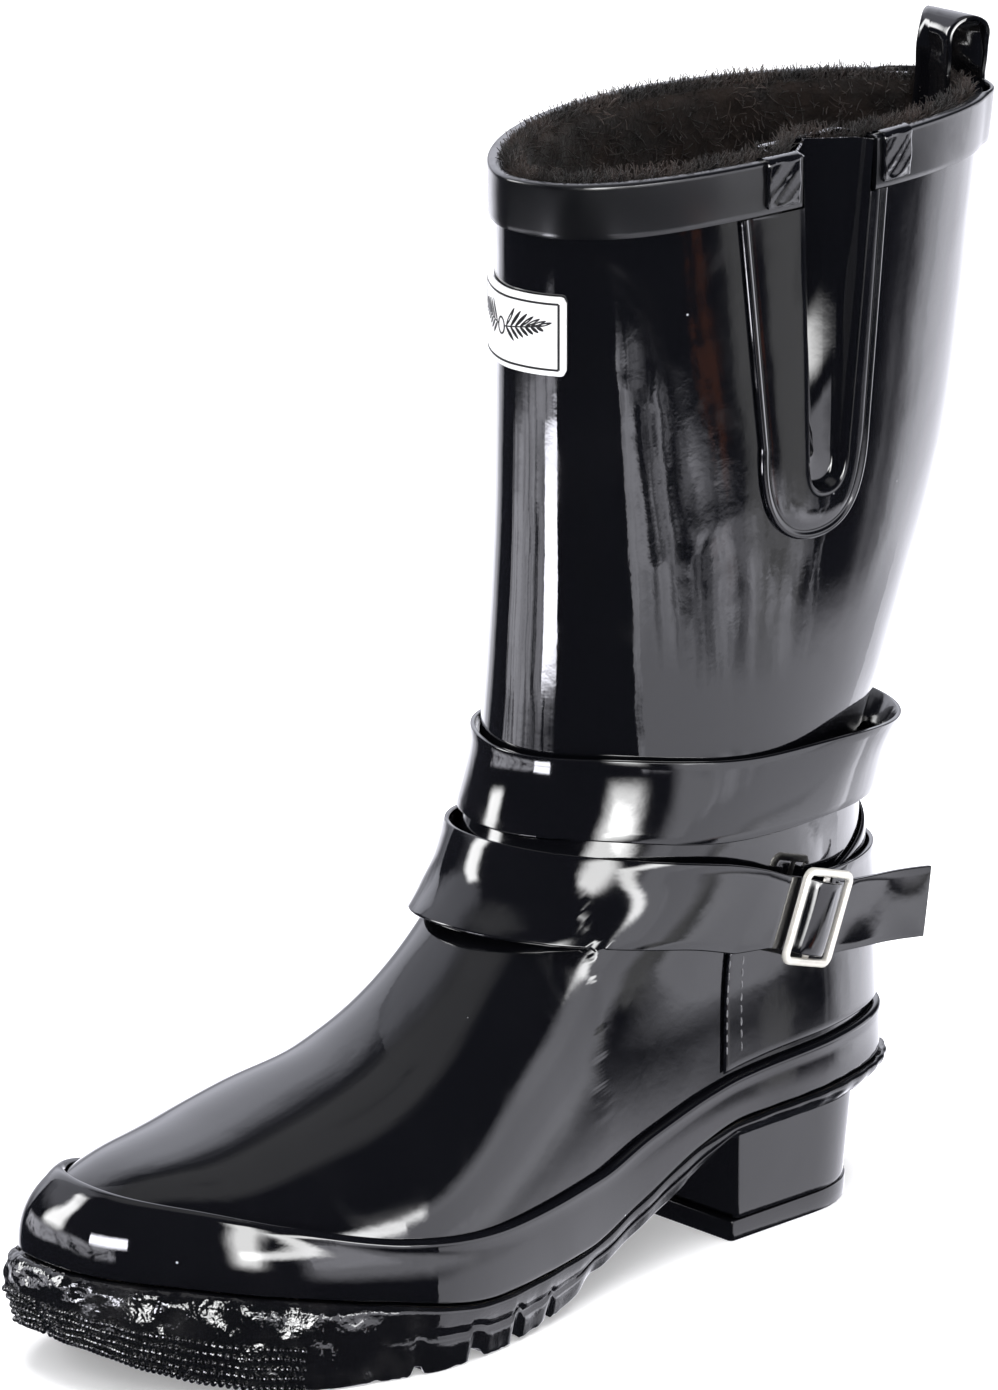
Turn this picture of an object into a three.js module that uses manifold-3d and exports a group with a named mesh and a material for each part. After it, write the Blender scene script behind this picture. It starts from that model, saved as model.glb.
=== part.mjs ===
// Pull-on rubber rain boot, left foot, with a fleece lining, a side gusset and two ankle straps.
// Millimetres, +Z up. The toe points to -Y and the outer side of the foot to +X.
// The origin is the centre of the flat ground face of the heel.
import * as THREE from "three";
import { mergeVertices } from "three/addons/utils/BufferGeometryUtils.js";
import Module from "manifold-3d";

const wasm = await Module();
wasm.setup();

// ---- Overall sizes -------------------------------------------------------------------------
const FOOT_LENGTH = 273.5; // upper, back of the heel to the toe
const HEEL_BACK = 43.5; // y of the back of the heel, at seat height
const SHAFT_TOP = 306; // height of the rim
const HEEL_SEAT = 37; // height of the welt round the heel
const TOE_HEIGHT = 57; // top of the toe cap
const INSTEP_HEIGHT = 113;
const ANKLE_HEIGHT = 144;
const ANKLE_FRONT = -82.5; // y of the shin line at the ankle
const ANKLE_BACK = 38; // y of the narrowest place behind the ankle
const ANKLE_HALF_WIDTH = 40.5;
const RIM_FRONT = -94;
const RIM_BACK = 72;
const RIM_HALF_WIDTH = 41;
const RIM_SHIFT = 5; // the rim leans to the outer side
const RIM_END_SHIFT = 7; // its front and back lean further
const HEEL_ENVELOPE = 43; // half widths of the foot's plan, before the ends round off
const WAIST_ENVELOPE = 31.5;
const BALL_ENVELOPE = 49;
const TOE_SHIFT = -20; // the toe lies towards the inner side
const PLAN_ROUNDNESS = 0.7;
const SECTION_ROUNDNESS = 2.4;

// ---- Sheet thicknesses and clearances ------------------------------------------------------
const GAP = 0.35; // between pieces that touch
const WALL = 2; // rubber of the shaft and the foot shell
const FLEECE = 5;
const FOOT_LINING = 2.5;
const STIFFENER = 1.2;
const RAND_THICKNESS = 2.1;
const COUNTER_THICKNESS = 0.8;
const BINDING_THICKNESS = 1.3;
const BINDING_HEIGHT = 14;
const STAY_THICKNESS = 1;
const PANEL_THICKNESS = 1.2;

// ---- Sole ----------------------------------------------------------------------------------
const HEEL_LENGTH = 62;
const HEEL_HALF_WIDTH = 34.5;
const HEEL_TAPER = 2;
const TOP_PIECE = 6; // height of the heel's wearing layer
const OUTSOLE_EDGE = 4; // thickness at the waist and over the heel
const TOE_SPRING = 17; // height of the tread under the toe tip
const LUG_DEPTH = 4.5;
const LUG_PITCH = 15.5;
const LUG_SLOT = 4.5;
const TREAD_BACK = -98; // y where the lugs begin, behind the ball
const TREAD_INSET = 4;
const WELT_SIDE = 3.6; // welt, outwards from the shell
const WELT_WAIST = 2;
const WELT_TOE = 6.5;
const BOARD_THICKNESS = 2;
const FOOTBED_THICKNESS = 4.5;
const TOE_ROOM = 2; // further in at the toe, where the lining leans inwards
const FILLER_THICKNESS = 1.8;
const SHANK_WIDTH = 14;
const SHANK_LENGTH = 95;

// ---- Gusset --------------------------------------------------------------------------------
const SLOT_FRONT = -22; // y of the slot's edges at the rim
const SLOT_REAR = 5;
const SLOT_DEPTH = 95; // rim to the bottom of the slot
const SLOT_CENTRE = -8.5;
const SLOT_HALF_LOW = 7.5; // half width where the bottom round begins
const STAY_FRONT = -45;
const STAY_REAR = 12;
const STAY_DEPTH = 107; // rim to the bottom of the overlay round the slot
const STAY_HALF_LOW = 20;
const GUSSET_FOLD = 9; // how far the panel folds inwards at the rim

// ---- Straps and buckle ---------------------------------------------------------------------
const STRAP_THICKNESS = 1.3;
const UPPER_STRAP_WIDTH = 22.5;
const LOWER_STRAP_WIDTH = 21;
const UPPER_STRAP_Z = [136, 130.5, 128.5]; // front, side, back
const UPPER_STAND_OFF = 8; // loose at the back
const UPPER_FRONT_OFF = 1; // bridges the hollow of the instep
const LOWER_STRAP_FRONT_Z = 111;
const LOWER_STRAP_BACK_Z = 87;
const LOWER_STAND_OFF = 3.5; // lies over the upper strap at the front
const BUCKLE_Y = -9;
const BUCKLE_Z = 91.5;
const BUCKLE_LENGTH = 21.5; // along the strap
const BUCKLE_BAR = 2.2;
const BUCKLE_DEPTH = 1.9;
const BUCKLE_SLANT = -18; // degrees, the strap falls towards the back
const BUCKLE_PLAY = 0.8; // lets the frame rock on its centre bar
const TAIL_LENGTH = 37;
const TAIL_SLANT = 12; // degrees, the tail rises back towards level

// ---- Label and pull loop -------------------------------------------------------------------
const LABEL_DROP = 30; // rim to the top edge of the label
const LABEL_HEIGHT = 22;
const LABEL_WIDTH = 40;
const LABEL_SHIFT = 4; // off the middle, towards the inner side
const LABEL_THICKNESS = 1;
const LOOP_WIDTH = 21;
const LOOP_THICKNESS = 1.5;
const LOOP_RISE = 19;
const LOOP_PLAY = 2.6; // room under the inner leg, which dips when the loop folds in
const LOOP_FLATTEN = 0.8; // how far the arch straightens above the curved rim
const TAB_SIZE = 12;

const COLUMN_STEP = 13.675; // mean length of a facet along the foot
const COLUMNS = 2 * Math.round(FOOT_LENGTH / COLUMN_STEP);
const TURN = 2 * Math.PI;
const TOE_Y = HEEL_BACK - FOOT_LENGTH;
const SLOT_BOTTOM = SHAFT_TOP - SLOT_DEPTH;
const STAY_BOTTOM = SHAFT_TOP - STAY_DEPTH;
const LABEL_BOTTOM = SHAFT_TOP - LABEL_DROP - LABEL_HEIGHT;

// Smooth monotone interpolation through [x, y] keys.
function keyed(keys, x) {
  const n = keys.length;
  if (x <= keys[0][0]) return keys[0][1];
  if (x >= keys[n - 1][0]) return keys[n - 1][1];
  let i = 0;
  while (x > keys[i + 1][0]) i += 1;
  const slope = (k) => (keys[k + 1][1] - keys[k][1]) / (keys[k + 1][0] - keys[k][0]);
  const tangent = (k) => {
    if (k === 0) return slope(0);
    if (k === n - 1) return slope(n - 2);
    const a = slope(k - 1);
    const b = slope(k);
    return a * b <= 0 ? 0 : (2 * a * b) / (a + b);
  };
  const h = keys[i + 1][0] - keys[i][0];
  const t = (x - keys[i][0]) / h;
  const left = (1 + 2 * t) * (1 - t) ** 2 * keys[i][1] + t * (1 - t) ** 2 * h * tangent(i);
  const right = t * t * (3 - 2 * t) * keys[i + 1][1] + t * t * (t - 1) * h * tangent(i + 1);
  return left + right;
}

const mix = (a, b, t) => a + (b - a) * t;
const clamp = (x, a, b) => Math.min(Math.max(x, a), b);
const ease = (a, b, x) => {
  const t = clamp((x - a) / (b - a), 0, 1);
  return t * t * (3 - 2 * t);
};
const rad = THREE.MathUtils.degToRad;

// ---- The outer face of the shell: a slice at each height, angle 0 at the back ---------------
const frontKeys = [
  [0, TOE_Y],
  [TOE_HEIGHT * 0.66, TOE_Y],
  [TOE_HEIGHT * 0.79, mix(TOE_Y, ANKLE_FRONT, 0.012)],
  [TOE_HEIGHT * 0.91, mix(TOE_Y, ANKLE_FRONT, 0.05)],
  [TOE_HEIGHT, mix(TOE_Y, ANKLE_FRONT, 0.125)],
  [mix(TOE_HEIGHT, INSTEP_HEIGHT, 0.12), mix(TOE_Y, ANKLE_FRONT, 0.31)],
  [mix(TOE_HEIGHT, INSTEP_HEIGHT, 0.38), mix(TOE_Y, ANKLE_FRONT, 0.6)],
  [mix(TOE_HEIGHT, INSTEP_HEIGHT, 0.7), mix(TOE_Y, ANKLE_FRONT, 0.78)],
  [INSTEP_HEIGHT, mix(TOE_Y, ANKLE_FRONT, 0.91)],
  [ANKLE_HEIGHT, mix(TOE_Y, ANKLE_FRONT, 0.99)],
  [ANKLE_HEIGHT + 35, ANKLE_FRONT - 2],
  [SHAFT_TOP, RIM_FRONT],
];
const backKeys = [
  [0, HEEL_BACK],
  [HEEL_SEAT + 15, HEEL_BACK],
  [mix(HEEL_SEAT, ANKLE_HEIGHT, 0.5), mix(HEEL_BACK, ANKLE_BACK, 0.5)],
  [mix(HEEL_SEAT, ANKLE_HEIGHT, 0.85), ANKLE_BACK],
  [ANKLE_HEIGHT + 10, ANKLE_BACK + 10],
  [mix(ANKLE_HEIGHT, SHAFT_TOP, 0.5), mix(ANKLE_BACK, RIM_BACK, 0.88)],
  [SHAFT_TOP, RIM_BACK],
];
const planKeys = [
  [0, 0, HEEL_ENVELOPE + 2],
  [0.14, 0, HEEL_ENVELOPE],
  [0.25, 0.5, mix(HEEL_ENVELOPE, WAIST_ENVELOPE, 0.5)],
  [0.41, 4.5, WAIST_ENVELOPE],
  [0.556, 5, mix(WAIST_ENVELOPE, BALL_ENVELOPE, 0.28)],
  [0.684, 1.5, mix(WAIST_ENVELOPE, BALL_ENVELOPE, 0.78)],
  [0.756, TOE_SHIFT * 0.2, BALL_ENVELOPE],
  [0.884, TOE_SHIFT * 0.53, BALL_ENVELOPE],
  [0.956, TOE_SHIFT * 0.8, BALL_ENVELOPE - 5],
  [1, TOE_SHIFT, BALL_ENVELOPE - 6],
];
const planCentre = (f) => keyed(planKeys.map((k) => [k[0], k[1]]), f);
const planEnvelope = (f) => keyed(planKeys.map((k) => [k[0], k[2]]), f);
const frontAt = (z) => keyed(frontKeys, z);
const backAt = (z) => keyed(backKeys, z);

// Height of the ridge over a place y along the foot.
function ridge(y) {
  if (y > ANKLE_FRONT - 2) {
    const past = y - (ANKLE_FRONT - 2);
    return ANKLE_HEIGHT + 1.5 * past + 0.03 * past * past;
  }
  let low = TOE_HEIGHT * 0.66;
  let high = ANKLE_HEIGHT + 2;
  for (let i = 0; i < 30; i += 1) {
    const middle = (low + high) / 2;
    if (frontAt(middle) < y) low = middle;
    else high = middle;
  }
  return low;
}

// Height of the welt's upper face along the foot, and of the underside of the sole.
const weltKeys = [
  [TOE_Y - 4, 34],
  [mix(TOE_Y, ANKLE_FRONT, 0.15), 30],
  [mix(TOE_Y, ANKLE_FRONT, 0.42), 22],
  [mix(TOE_Y, ANKLE_FRONT, 0.68), 15.5],
  [mix(TOE_Y, ANKLE_FRONT, 0.92), 17],
  [-72, 23.5],
  [-47, HEEL_SEAT - 3.5],
  [-32, HEEL_SEAT],
  [0, HEEL_SEAT + 0.8],
  [HEEL_BACK, HEEL_SEAT],
];
const treadKeys = [
  [TOE_Y - 6, TOE_SPRING],
  [mix(TOE_Y, ANKLE_FRONT, 0.14), 5],
  [mix(TOE_Y, ANKLE_FRONT, 0.36), 0],
  [mix(TOE_Y, ANKLE_FRONT, 0.64), 0],
  [mix(TOE_Y, ANKLE_FRONT, 0.85), 3],
  [-85, 9.5],
  [-55, 21],
  [-HEEL_LENGTH / 2, HEEL_SEAT - OUTSOLE_EDGE - 0.7],
  [HEEL_BACK, HEEL_SEAT - OUTSOLE_EDGE],
];
const weltAt = (y) => keyed(weltKeys, y);
const treadAt = (y) => keyed(treadKeys, y);

function shell(angle, z) {
  const back = backAt(z);
  const front = frontAt(z);
  const s = (1 - Math.cos(angle)) / 2;
  const y = back - s * (back - front);
  const f = clamp((back - y) / (back - TOE_Y), 0, 1);
  const around = Math.sin(angle);
  const floor = weltAt(y);
  const lift = clamp((z - floor) / Math.max(ridge(y) - floor, 1), 0, 1);
  const crown = (1 - lift ** SECTION_ROUNDNESS) ** (1 / SECTION_ROUNDNESS);
  const end = (2 * Math.sqrt(f * (1 - f))) ** PLAN_ROUNDNESS;
  const footHalf = planEnvelope(f) * end * crown * Math.sign(around);
  const foot = planCentre(f) + (Math.abs(around) < 1e-9 ? 0 : footHalf);
  const rise = clamp((z - ANKLE_HEIGHT) / (SHAFT_TOP - ANKLE_HEIGHT), 0, 2);
  const legHalf = mix(ANKLE_HALF_WIDTH, RIM_HALF_WIDTH, clamp(rise * 1.3, 0, 1));
  const bluntness = mix(1, around > 0 ? 0.85 : 1.25, clamp(rise, 0, 1));
  const bow = legHalf * Math.abs(around) ** bluntness * Math.sign(around);
  const leg = (RIM_SHIFT + RIM_END_SHIFT * Math.cos(angle) ** 2) * rise + bow;
  const x = mix(foot, leg, ease(TOE_HEIGHT + 8, ANKLE_HEIGHT - 12, z));
  return new THREE.Vector3(x, y, z);
}

function shellNormal(angle, z) {
  const along = shell(angle + 0.02, z).sub(shell(angle - 0.02, z));
  const up = shell(angle, z + 0.6).sub(shell(angle, z - 0.6));
  return up.cross(along).normalize();
}

const offset = (angle, z, d) => shell(angle, z).addScaledVector(shellNormal(angle, z), d);

// Angle on the outer side at which the slice at height z reaches y.
function angleAt(y, z) {
  const s = (backAt(z) - y) / (backAt(z) - frontAt(z));
  return Math.acos(clamp(1 - 2 * s, -1, 1));
}

// ---- Solids from grids of points -----------------------------------------------------------
function solidFrom(points, faces) {
  const g = new THREE.BufferGeometry();
  const flat = points.flatMap((p) => [p.x, p.y, p.z]);
  g.setAttribute("position", new THREE.Float32BufferAttribute(flat, 3));
  let volume = 0;
  for (const [a, b, c] of faces) {
    volume += points[a].dot(points[b].clone().cross(points[c]));
  }
  g.setIndex(faces.flatMap(([a, b, c]) => (volume < 0 ? [a, c, b] : [a, b, c])));
  return g;
}

// rings[i] is a closed loop of points round the section at place i along the piece.
function loft(rings, closed = false) {
  const n = rings[0].length;
  const faces = [];
  const last = closed ? rings.length : rings.length - 1;
  for (let i = 0; i < last; i += 1) {
    const a = i * n;
    const b = ((i + 1) % rings.length) * n;
    for (let j = 0; j < n; j += 1) {
      const k = (j + 1) % n;
      if (j < n / 2) faces.push([a + j, b + j, b + k], [a + j, b + k, a + k]);
      else faces.push([a + j, b + j, a + k], [b + j, b + k, a + k]);
    }
  }
  if (!closed) {
    const end = (rings.length - 1) * n;
    for (let j = 0; j < n / 2 - 1; j += 1) {
      const k = n - 1 - j;
      faces.push([j, j + 1, k - 1], [j, k - 1, k]);
      faces.push([end + j + 1, end + j, end + k], [end + j + 1, end + k, end + k - 1]);
    }
  }
  return solidFrom(rings.flat(), faces);
}

// A layer of the shell: a column of heights at each angle, between two distances from the
// outer face. Layers that share angles and heights stay parallel, facet for facet.
function layer({ angles, levels, inner, outer, closed = false }) {
  const value = (v, a, z) => (typeof v === "function" ? v(a, z) : v);
  const rings = angles.map((a) => {
    const heights = levels(a);
    const out = heights.map((z) => offset(a, z, value(outer, a, z)));
    const back = heights.map((z) => offset(a, z, value(inner, a, z)));
    return [...out, ...back.reverse()];
  });
  return loft(rings, closed);
}

const spread = (from, to, n) => Array.from({ length: n + 1 }, (_, i) => mix(from, to, i / n));
const columnsBetween = (i, j) => spread((TURN * i) / COLUMNS, (TURN * j) / COLUMNS, j - i);
const allRound = columnsBetween(0, COLUMNS - 1);
const between = (low, high, rows) => (a) => {
  const bottom = typeof low === "function" ? low(a) : low;
  const top = typeof high === "function" ? high(a) : high;
  return rows.map((t) => mix(bottom, top, t));
};

function toSolid(geometry) {
  const g = geometry.clone();
  g.deleteAttribute("normal");
  g.deleteAttribute("uv");
  const merged = mergeVertices(g, 1e-4);
  const vertProperties = new Float32Array(merged.attributes.position.array);
  const triVerts = new Uint32Array(merged.index.array);
  return new wasm.Manifold(new wasm.Mesh({ numProp: 3, vertProperties, triVerts }));
}

function fromSolid(solid) {
  const mesh = solid.getMesh();
  const g = new THREE.BufferGeometry();
  g.setAttribute("position", new THREE.Float32BufferAttribute(mesh.vertProperties, 3));
  g.setIndex([...mesh.triVerts]);
  return g;
}

const cut = (geometry, ...tools) =>
  fromSolid(tools.reduce((solid, tool) => solid.subtract(toSolid(tool)), toSolid(geometry)));
const keep = (geometry, tool) => fromSolid(toSolid(geometry).intersect(toSolid(tool)));
const join = (...list) =>
  fromSolid(list.map(toSolid).reduce((solid, other) => solid.add(other)));

// An outline in the Y-Z plane pushed out along +X from x0 to x1.
function sidePrism(shape, x0, x1) {
  const g = new THREE.ExtrudeGeometry(shape, {
    depth: x1 - x0,
    bevelEnabled: false,
    curveSegments: 8,
  });
  const turn = new THREE.Matrix4().makeBasis(
    new THREE.Vector3(0, 1, 0),
    new THREE.Vector3(0, 0, 1),
    new THREE.Vector3(1, 0, 0),
  );
  return g.applyMatrix4(turn).translate(x0, 0, 0);
}

const angleY = (a) => HEEL_BACK - ((1 - Math.cos(a)) / 2) * FOOT_LENGTH;

// ---- Plan slabs inside and under the shell -------------------------------------------------
// The foot's outline at angle a, moved outwards by d (inwards when d is negative).
function planPoint(a, d) {
  const s = (1 - Math.cos(a)) / 2;
  const y = HEEL_BACK + d - s * (FOOT_LENGTH + 2 * d);
  const end = (2 * Math.sqrt(s * (1 - s))) ** PLAN_ROUNDNESS;
  const x = planCentre(s) + (planEnvelope(s) * end + d * Math.min(end * 1.2, 1)) * Math.sign(Math.sin(a));
  return [x, y];
}

// Sections across the foot from the back to the toe; each is a closed loop.
// Stations between the ends are those of the shell's columns, so that the faces stay parallel.
function planSlab({ y0, y1, grow, top, bottom, flare = 0 }) {
  const angleOf = (y, d) => {
    const s = clamp((HEEL_BACK + d - y) / (FOOT_LENGTH + 2 * d), 0.002, 0.998);
    return Math.acos(1 - 2 * s);
  };
  const own = columnsBetween(0, COLUMNS / 2).map(angleY).filter((y) => y < y0 - 1 && y > y1 + 1);
  const rings = [];
  for (const y of [y0, ...own, y1]) {
    const d = typeof grow === "function" ? grow(y) : grow;
    const a = angleOf(y, d);
    const outer = planPoint(a, d)[0];
    const inner = planPoint(TURN - a, d)[0];
    const middle = (outer + inner) / 2;
    const low = (x) => middle + (x - middle) * (1 - flare);
    rings.push([
      new THREE.Vector3(outer, y, top(y)),
      new THREE.Vector3(inner, y, top(y)),
      new THREE.Vector3(low(inner), y, bottom(y)),
      new THREE.Vector3(low(outer), y, bottom(y)),
    ]);
  }
  return loft(rings);
}

// ---- Colours -------------------------------------------------------------------------------
const rubber = { color: 0x0b0c10, roughness: 0.12, metalness: 0 };
const sole = { color: 0x101114, roughness: 0.35, metalness: 0 };
const fleece = { color: 0x241d1a, roughness: 1, metalness: 0 };
const board = { color: 0x6d5f4c, roughness: 0.9, metalness: 0 };
const steel = { color: 0xd9d6cf, roughness: 0.18, metalness: 1 };
const white = { color: 0xf4f4f2, roughness: 0.35, metalness: 0 };

const boot = new THREE.Group();
function piece(name, geometry, look) {
  const mesh = new THREE.Mesh(geometry, new THREE.MeshStandardMaterial(look));
  mesh.name = name;
  mesh.geometry.computeVertexNormals();
  boot.add(mesh);
  return mesh;
}

// ---- Gusset outlines, in the Y-Z plane -----------------------------------------------------
function uShape(front, rear, centre, halfLow, bottom, grow) {
  const shoulder = bottom + halfLow * 1.4;
  const top = SHAFT_TOP + 20;
  const s = new THREE.Shape();
  s.moveTo(front - grow, top);
  s.lineTo(front - grow, SHAFT_TOP);
  s.lineTo(centre - halfLow - grow, shoulder);
  s.quadraticCurveTo(centre - halfLow - grow, bottom - grow, centre, bottom - grow);
  s.quadraticCurveTo(centre + halfLow + grow, bottom - grow, centre + halfLow + grow, shoulder);
  s.lineTo(rear + grow, SHAFT_TOP);
  s.lineTo(rear + grow, top);
  return s;
}
const slotShape = (grow) =>
  uShape(SLOT_FRONT, SLOT_REAR, SLOT_CENTRE, SLOT_HALF_LOW, SLOT_BOTTOM, grow);
const stayShape = (grow) =>
  uShape(STAY_FRONT, STAY_REAR, SLOT_CENTRE - 4, STAY_HALF_LOW, STAY_BOTTOM, grow);
const slotPrism = (grow) => sidePrism(slotShape(grow), 5, 90);

// How far the gusset folds inwards at a place on the outer side.
function fold(angle, z) {
  const y = shell(angle, z).y;
  const rise = clamp((z - SLOT_BOTTOM) / (SHAFT_TOP - SLOT_BOTTOM), 0, 1);
  const front = mix(SLOT_CENTRE - SLOT_HALF_LOW, SLOT_FRONT, rise);
  const rear = mix(SLOT_CENTRE + SLOT_HALF_LOW, SLOT_REAR, rise);
  const across = clamp((y - front) / (rear - front), 0, 1);
  const outer = Math.sin(angle) > 0 ? 1 : 0;
  return outer * GUSSET_FOLD * Math.sin(Math.PI * across) * Math.min(rise * 1.6, 1);
}
// Room the gusset panel takes between the shaft and the lining.
function panelRoom(angle, z) {
  if (Math.sin(angle) < 0) return 0;
  const y = shell(angle, z).y;
  const along = ease(SLOT_FRONT - 22, SLOT_FRONT - 7, y) * (1 - ease(SLOT_REAR + 7, SLOT_REAR + 22, y));
  return (PANEL_THICKNESS + GAP) * along * ease(SLOT_BOTTOM - 22, SLOT_BOTTOM - 9, z);
}

// ---- Shaft, foot shell and linings ---------------------------------------------------------
const SEAM = UPPER_STRAP_Z[1] - 1; // the two shells meet under the upper strap
const soleTop = (a) => weltAt(angleY(a)) + GAP;
const footRows = [0, 0.09, 0.19, 0.28, 0.34, 0.4, 0.47, 0.56, 0.68, 0.83, 1];
const footLevels = between(soleTop, SEAM, footRows);
const someFootLevels = (i, j) => between(soleTop, SEAM, footRows.slice(i, j));
const behindWall = -WALL - GAP;
const stiffened = behindWall - STIFFENER - GAP;
const HEEL_COLUMNS = Math.round(COLUMNS * 0.2); // reach of the stiffener, each way
const TOE_COLUMNS = Math.round(COLUMNS * 0.125); // reach of the toe puff, each way

piece("foot_shell", layer({
  angles: allRound, levels: footLevels, inner: -WALL, outer: 0, closed: true,
}), rubber);
piece("foot_lining", layer({
  angles: allRound,
  levels: someFootLevels(1, 11),
  inner: (a, z) => mix(stiffened - FOOT_LINING, behindWall - FLEECE, ease(SEAM - 30, SEAM, z)),
  outer: (a, z) => mix(stiffened, behindWall, ease(SEAM - 20, SEAM, z)),
  closed: true,
}), fleece);
piece("heel_stiffener", layer({
  angles: columnsBetween(-HEEL_COLUMNS, HEEL_COLUMNS), levels: someFootLevels(1, 7),
  inner: behindWall - STIFFENER, outer: behindWall,
}), board);
piece("toe_puff", layer({
  angles: columnsBetween(COLUMNS / 2 - TOE_COLUMNS, COLUMNS / 2 + TOE_COLUMNS), levels: someFootLevels(1, 6),
  inner: behindWall - STIFFENER, outer: behindWall,
}), board);

const lowerRows = spread(SEAM + GAP, STAY_BOTTOM - 4, 3);
const bendRow = Math.min(SEAM + 11, mix(lowerRows[0], lowerRows[1], 0.5)); // where the shin bends
const shaftLevels = [
  lowerRows[0], bendRow, ...lowerRows.slice(1), ...spread(SLOT_BOTTOM - 6, SHAFT_TOP, 5),
];
const gussetFrom = angleAt(SLOT_REAR + 5, SHAFT_TOP);
const gussetTo = angleAt(SLOT_FRONT - 5, SHAFT_TOP);
const gussetAngles = spread(gussetFrom, gussetTo, 10);
const shaftAngles = [
  ...allRound.filter((a) => a < gussetFrom - 0.03),
  ...gussetAngles,
  ...allRound.filter((a) => a > gussetTo + 0.03),
];
piece("shaft", cut(layer({
  angles: shaftAngles, levels: () => shaftLevels, inner: -WALL, outer: 0, closed: true,
}), slotPrism(0)), rubber);
piece("shaft_lining", layer({
  angles: shaftAngles,
  levels: () => [SEAM + GAP, ...shaftLevels.slice(1)],
  inner: (a, z) => behindWall - FLEECE - panelRoom(a, z) - fold(a, z),
  outer: (a, z) => behindWall - panelRoom(a, z) - fold(a, z),
  closed: true,
}), fleece);

// ---- Gusset --------------------------------------------------------------------------------
piece("gusset_panel", layer({
  angles: gussetAngles,
  levels: () => shaftLevels.slice(5),
  inner: (a, z) => behindWall - fold(a, z) - PANEL_THICKNESS,
  outer: (a, z) => behindWall - fold(a, z),
}), rubber);
const stayTop = SHAFT_TOP - BINDING_HEIGHT - GAP;
const stayAngles = spread(angleAt(STAY_REAR + 6, SHAFT_TOP), angleAt(STAY_FRONT - 6, SHAFT_TOP), 14);
piece("gusset_stay", cut(keep(layer({
  angles: stayAngles, levels: () => spread(STAY_BOTTOM - 4, stayTop, 6),
  inner: GAP, outer: GAP + STAY_THICKNESS,
}), sidePrism(stayShape(0), 5, 90)), slotPrism(0)), rubber);

// ---- Pull loop at the back of the rim ------------------------------------------------------
// The strip follows the curve of the rim where it is held and straightens above it.
const loopAngle = angleForWidth(LOOP_WIDTH, SHAFT_TOP, 0);
const loopAngles = spread(-loopAngle, loopAngle, 6);
const loopOuter = GAP + LOOP_THICKNESS / 2;
const loopInner = behindWall - FLEECE - 2 * GAP - LOOP_THICKNESS / 2;
const hingeZ = SHAFT_TOP + 1.2;
function loopStrip(points) {
  const rings = loopAngles.map((a) => {
    const side = (i, t) => {
      const b = points[Math.max(i - 1, 0)];
      const c = points[Math.min(i + 1, points.length - 1)];
      const run = Math.hypot(c[0] - b[0], c[1] - b[1]);
      const d = points[i][0] + ((c[1] - b[1]) / run) * t * LOOP_THICKNESS;
      const z = points[i][1] - ((c[0] - b[0]) / run) * t * LOOP_THICKNESS;
      const base = offset(a, Math.min(z, SHAFT_TOP), d);
      const flat = ease(SHAFT_TOP + 2, SHAFT_TOP + LOOP_RISE, z) * LOOP_FLATTEN;
      const crest = offset(0, SHAFT_TOP, d).y;
      return new THREE.Vector3(base.x, mix(base.y, crest, flat), z);
    };
    const right = points.map((_, i) => side(i, 0.5));
    const left = points.map((_, i) => side(i, -0.5));
    return [...right, ...left.reverse()];
  });
  return loft(rings);
}
const loopRadius = (loopOuter - loopInner) / 2;
const archZ = SHAFT_TOP + LOOP_RISE - loopRadius - LOOP_THICKNESS / 2;
const arch = spread(0, Math.PI, 8).map((t) => [
  loopInner + loopRadius * (1 - Math.cos(t)), archZ + loopRadius * Math.sin(t),
]);
piece("pull_loop", loopStrip([[loopInner, hingeZ + LOOP_PLAY], ...arch, [loopOuter, hingeZ]]), rubber);
const endLow = SHAFT_TOP - BINDING_HEIGHT + 2;
piece("pull_loop_outer_end", loopStrip([[loopOuter, endLow], [loopOuter, hingeZ - 0.8]]), rubber);
piece("pull_loop_inner_end", loopStrip([[loopInner, endLow], [loopInner, hingeZ - 0.8]]), rubber);

// ---- Rim binding and its tabs --------------------------------------------------------------
const bulge = (a) => {
  const away = Math.min(a, TURN - a);
  return (LOOP_THICKNESS + GAP) * (1 - ease(loopAngle + 0.06, loopAngle + 0.3, away));
};
const bindingAngles = [
  ...spread(0, 0.9, 12), ...shaftAngles.filter((a) => a > 0.95 && a < TURN - 0.95),
  ...spread(TURN - 0.9, TURN - 0.075, 11),
];
piece("rim_binding", cut(layer({
  angles: bindingAngles,
  levels: () => spread(SHAFT_TOP - BINDING_HEIGHT, SHAFT_TOP, 1),
  inner: (a) => GAP + bulge(a),
  outer: (a) => GAP + BINDING_THICKNESS + bulge(a),
  closed: true,
}), slotPrism(1)), rubber);

const overBinding = 2 * GAP + BINDING_THICKNESS;
function tab(name, front) {
  piece(name, layer({
    angles: spread(angleAt(front + TAB_SIZE, SHAFT_TOP), angleAt(front, SHAFT_TOP), 4),
    levels: () => spread(SHAFT_TOP - TAB_SIZE, SHAFT_TOP + 0.5, 1),
    inner: overBinding, outer: overBinding + STAY_THICKNESS,
  }), rubber);
}
tab("binding_tab_front", SLOT_FRONT - TAB_SIZE - 2);
tab("binding_tab_rear", SLOT_REAR + 2);

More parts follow.
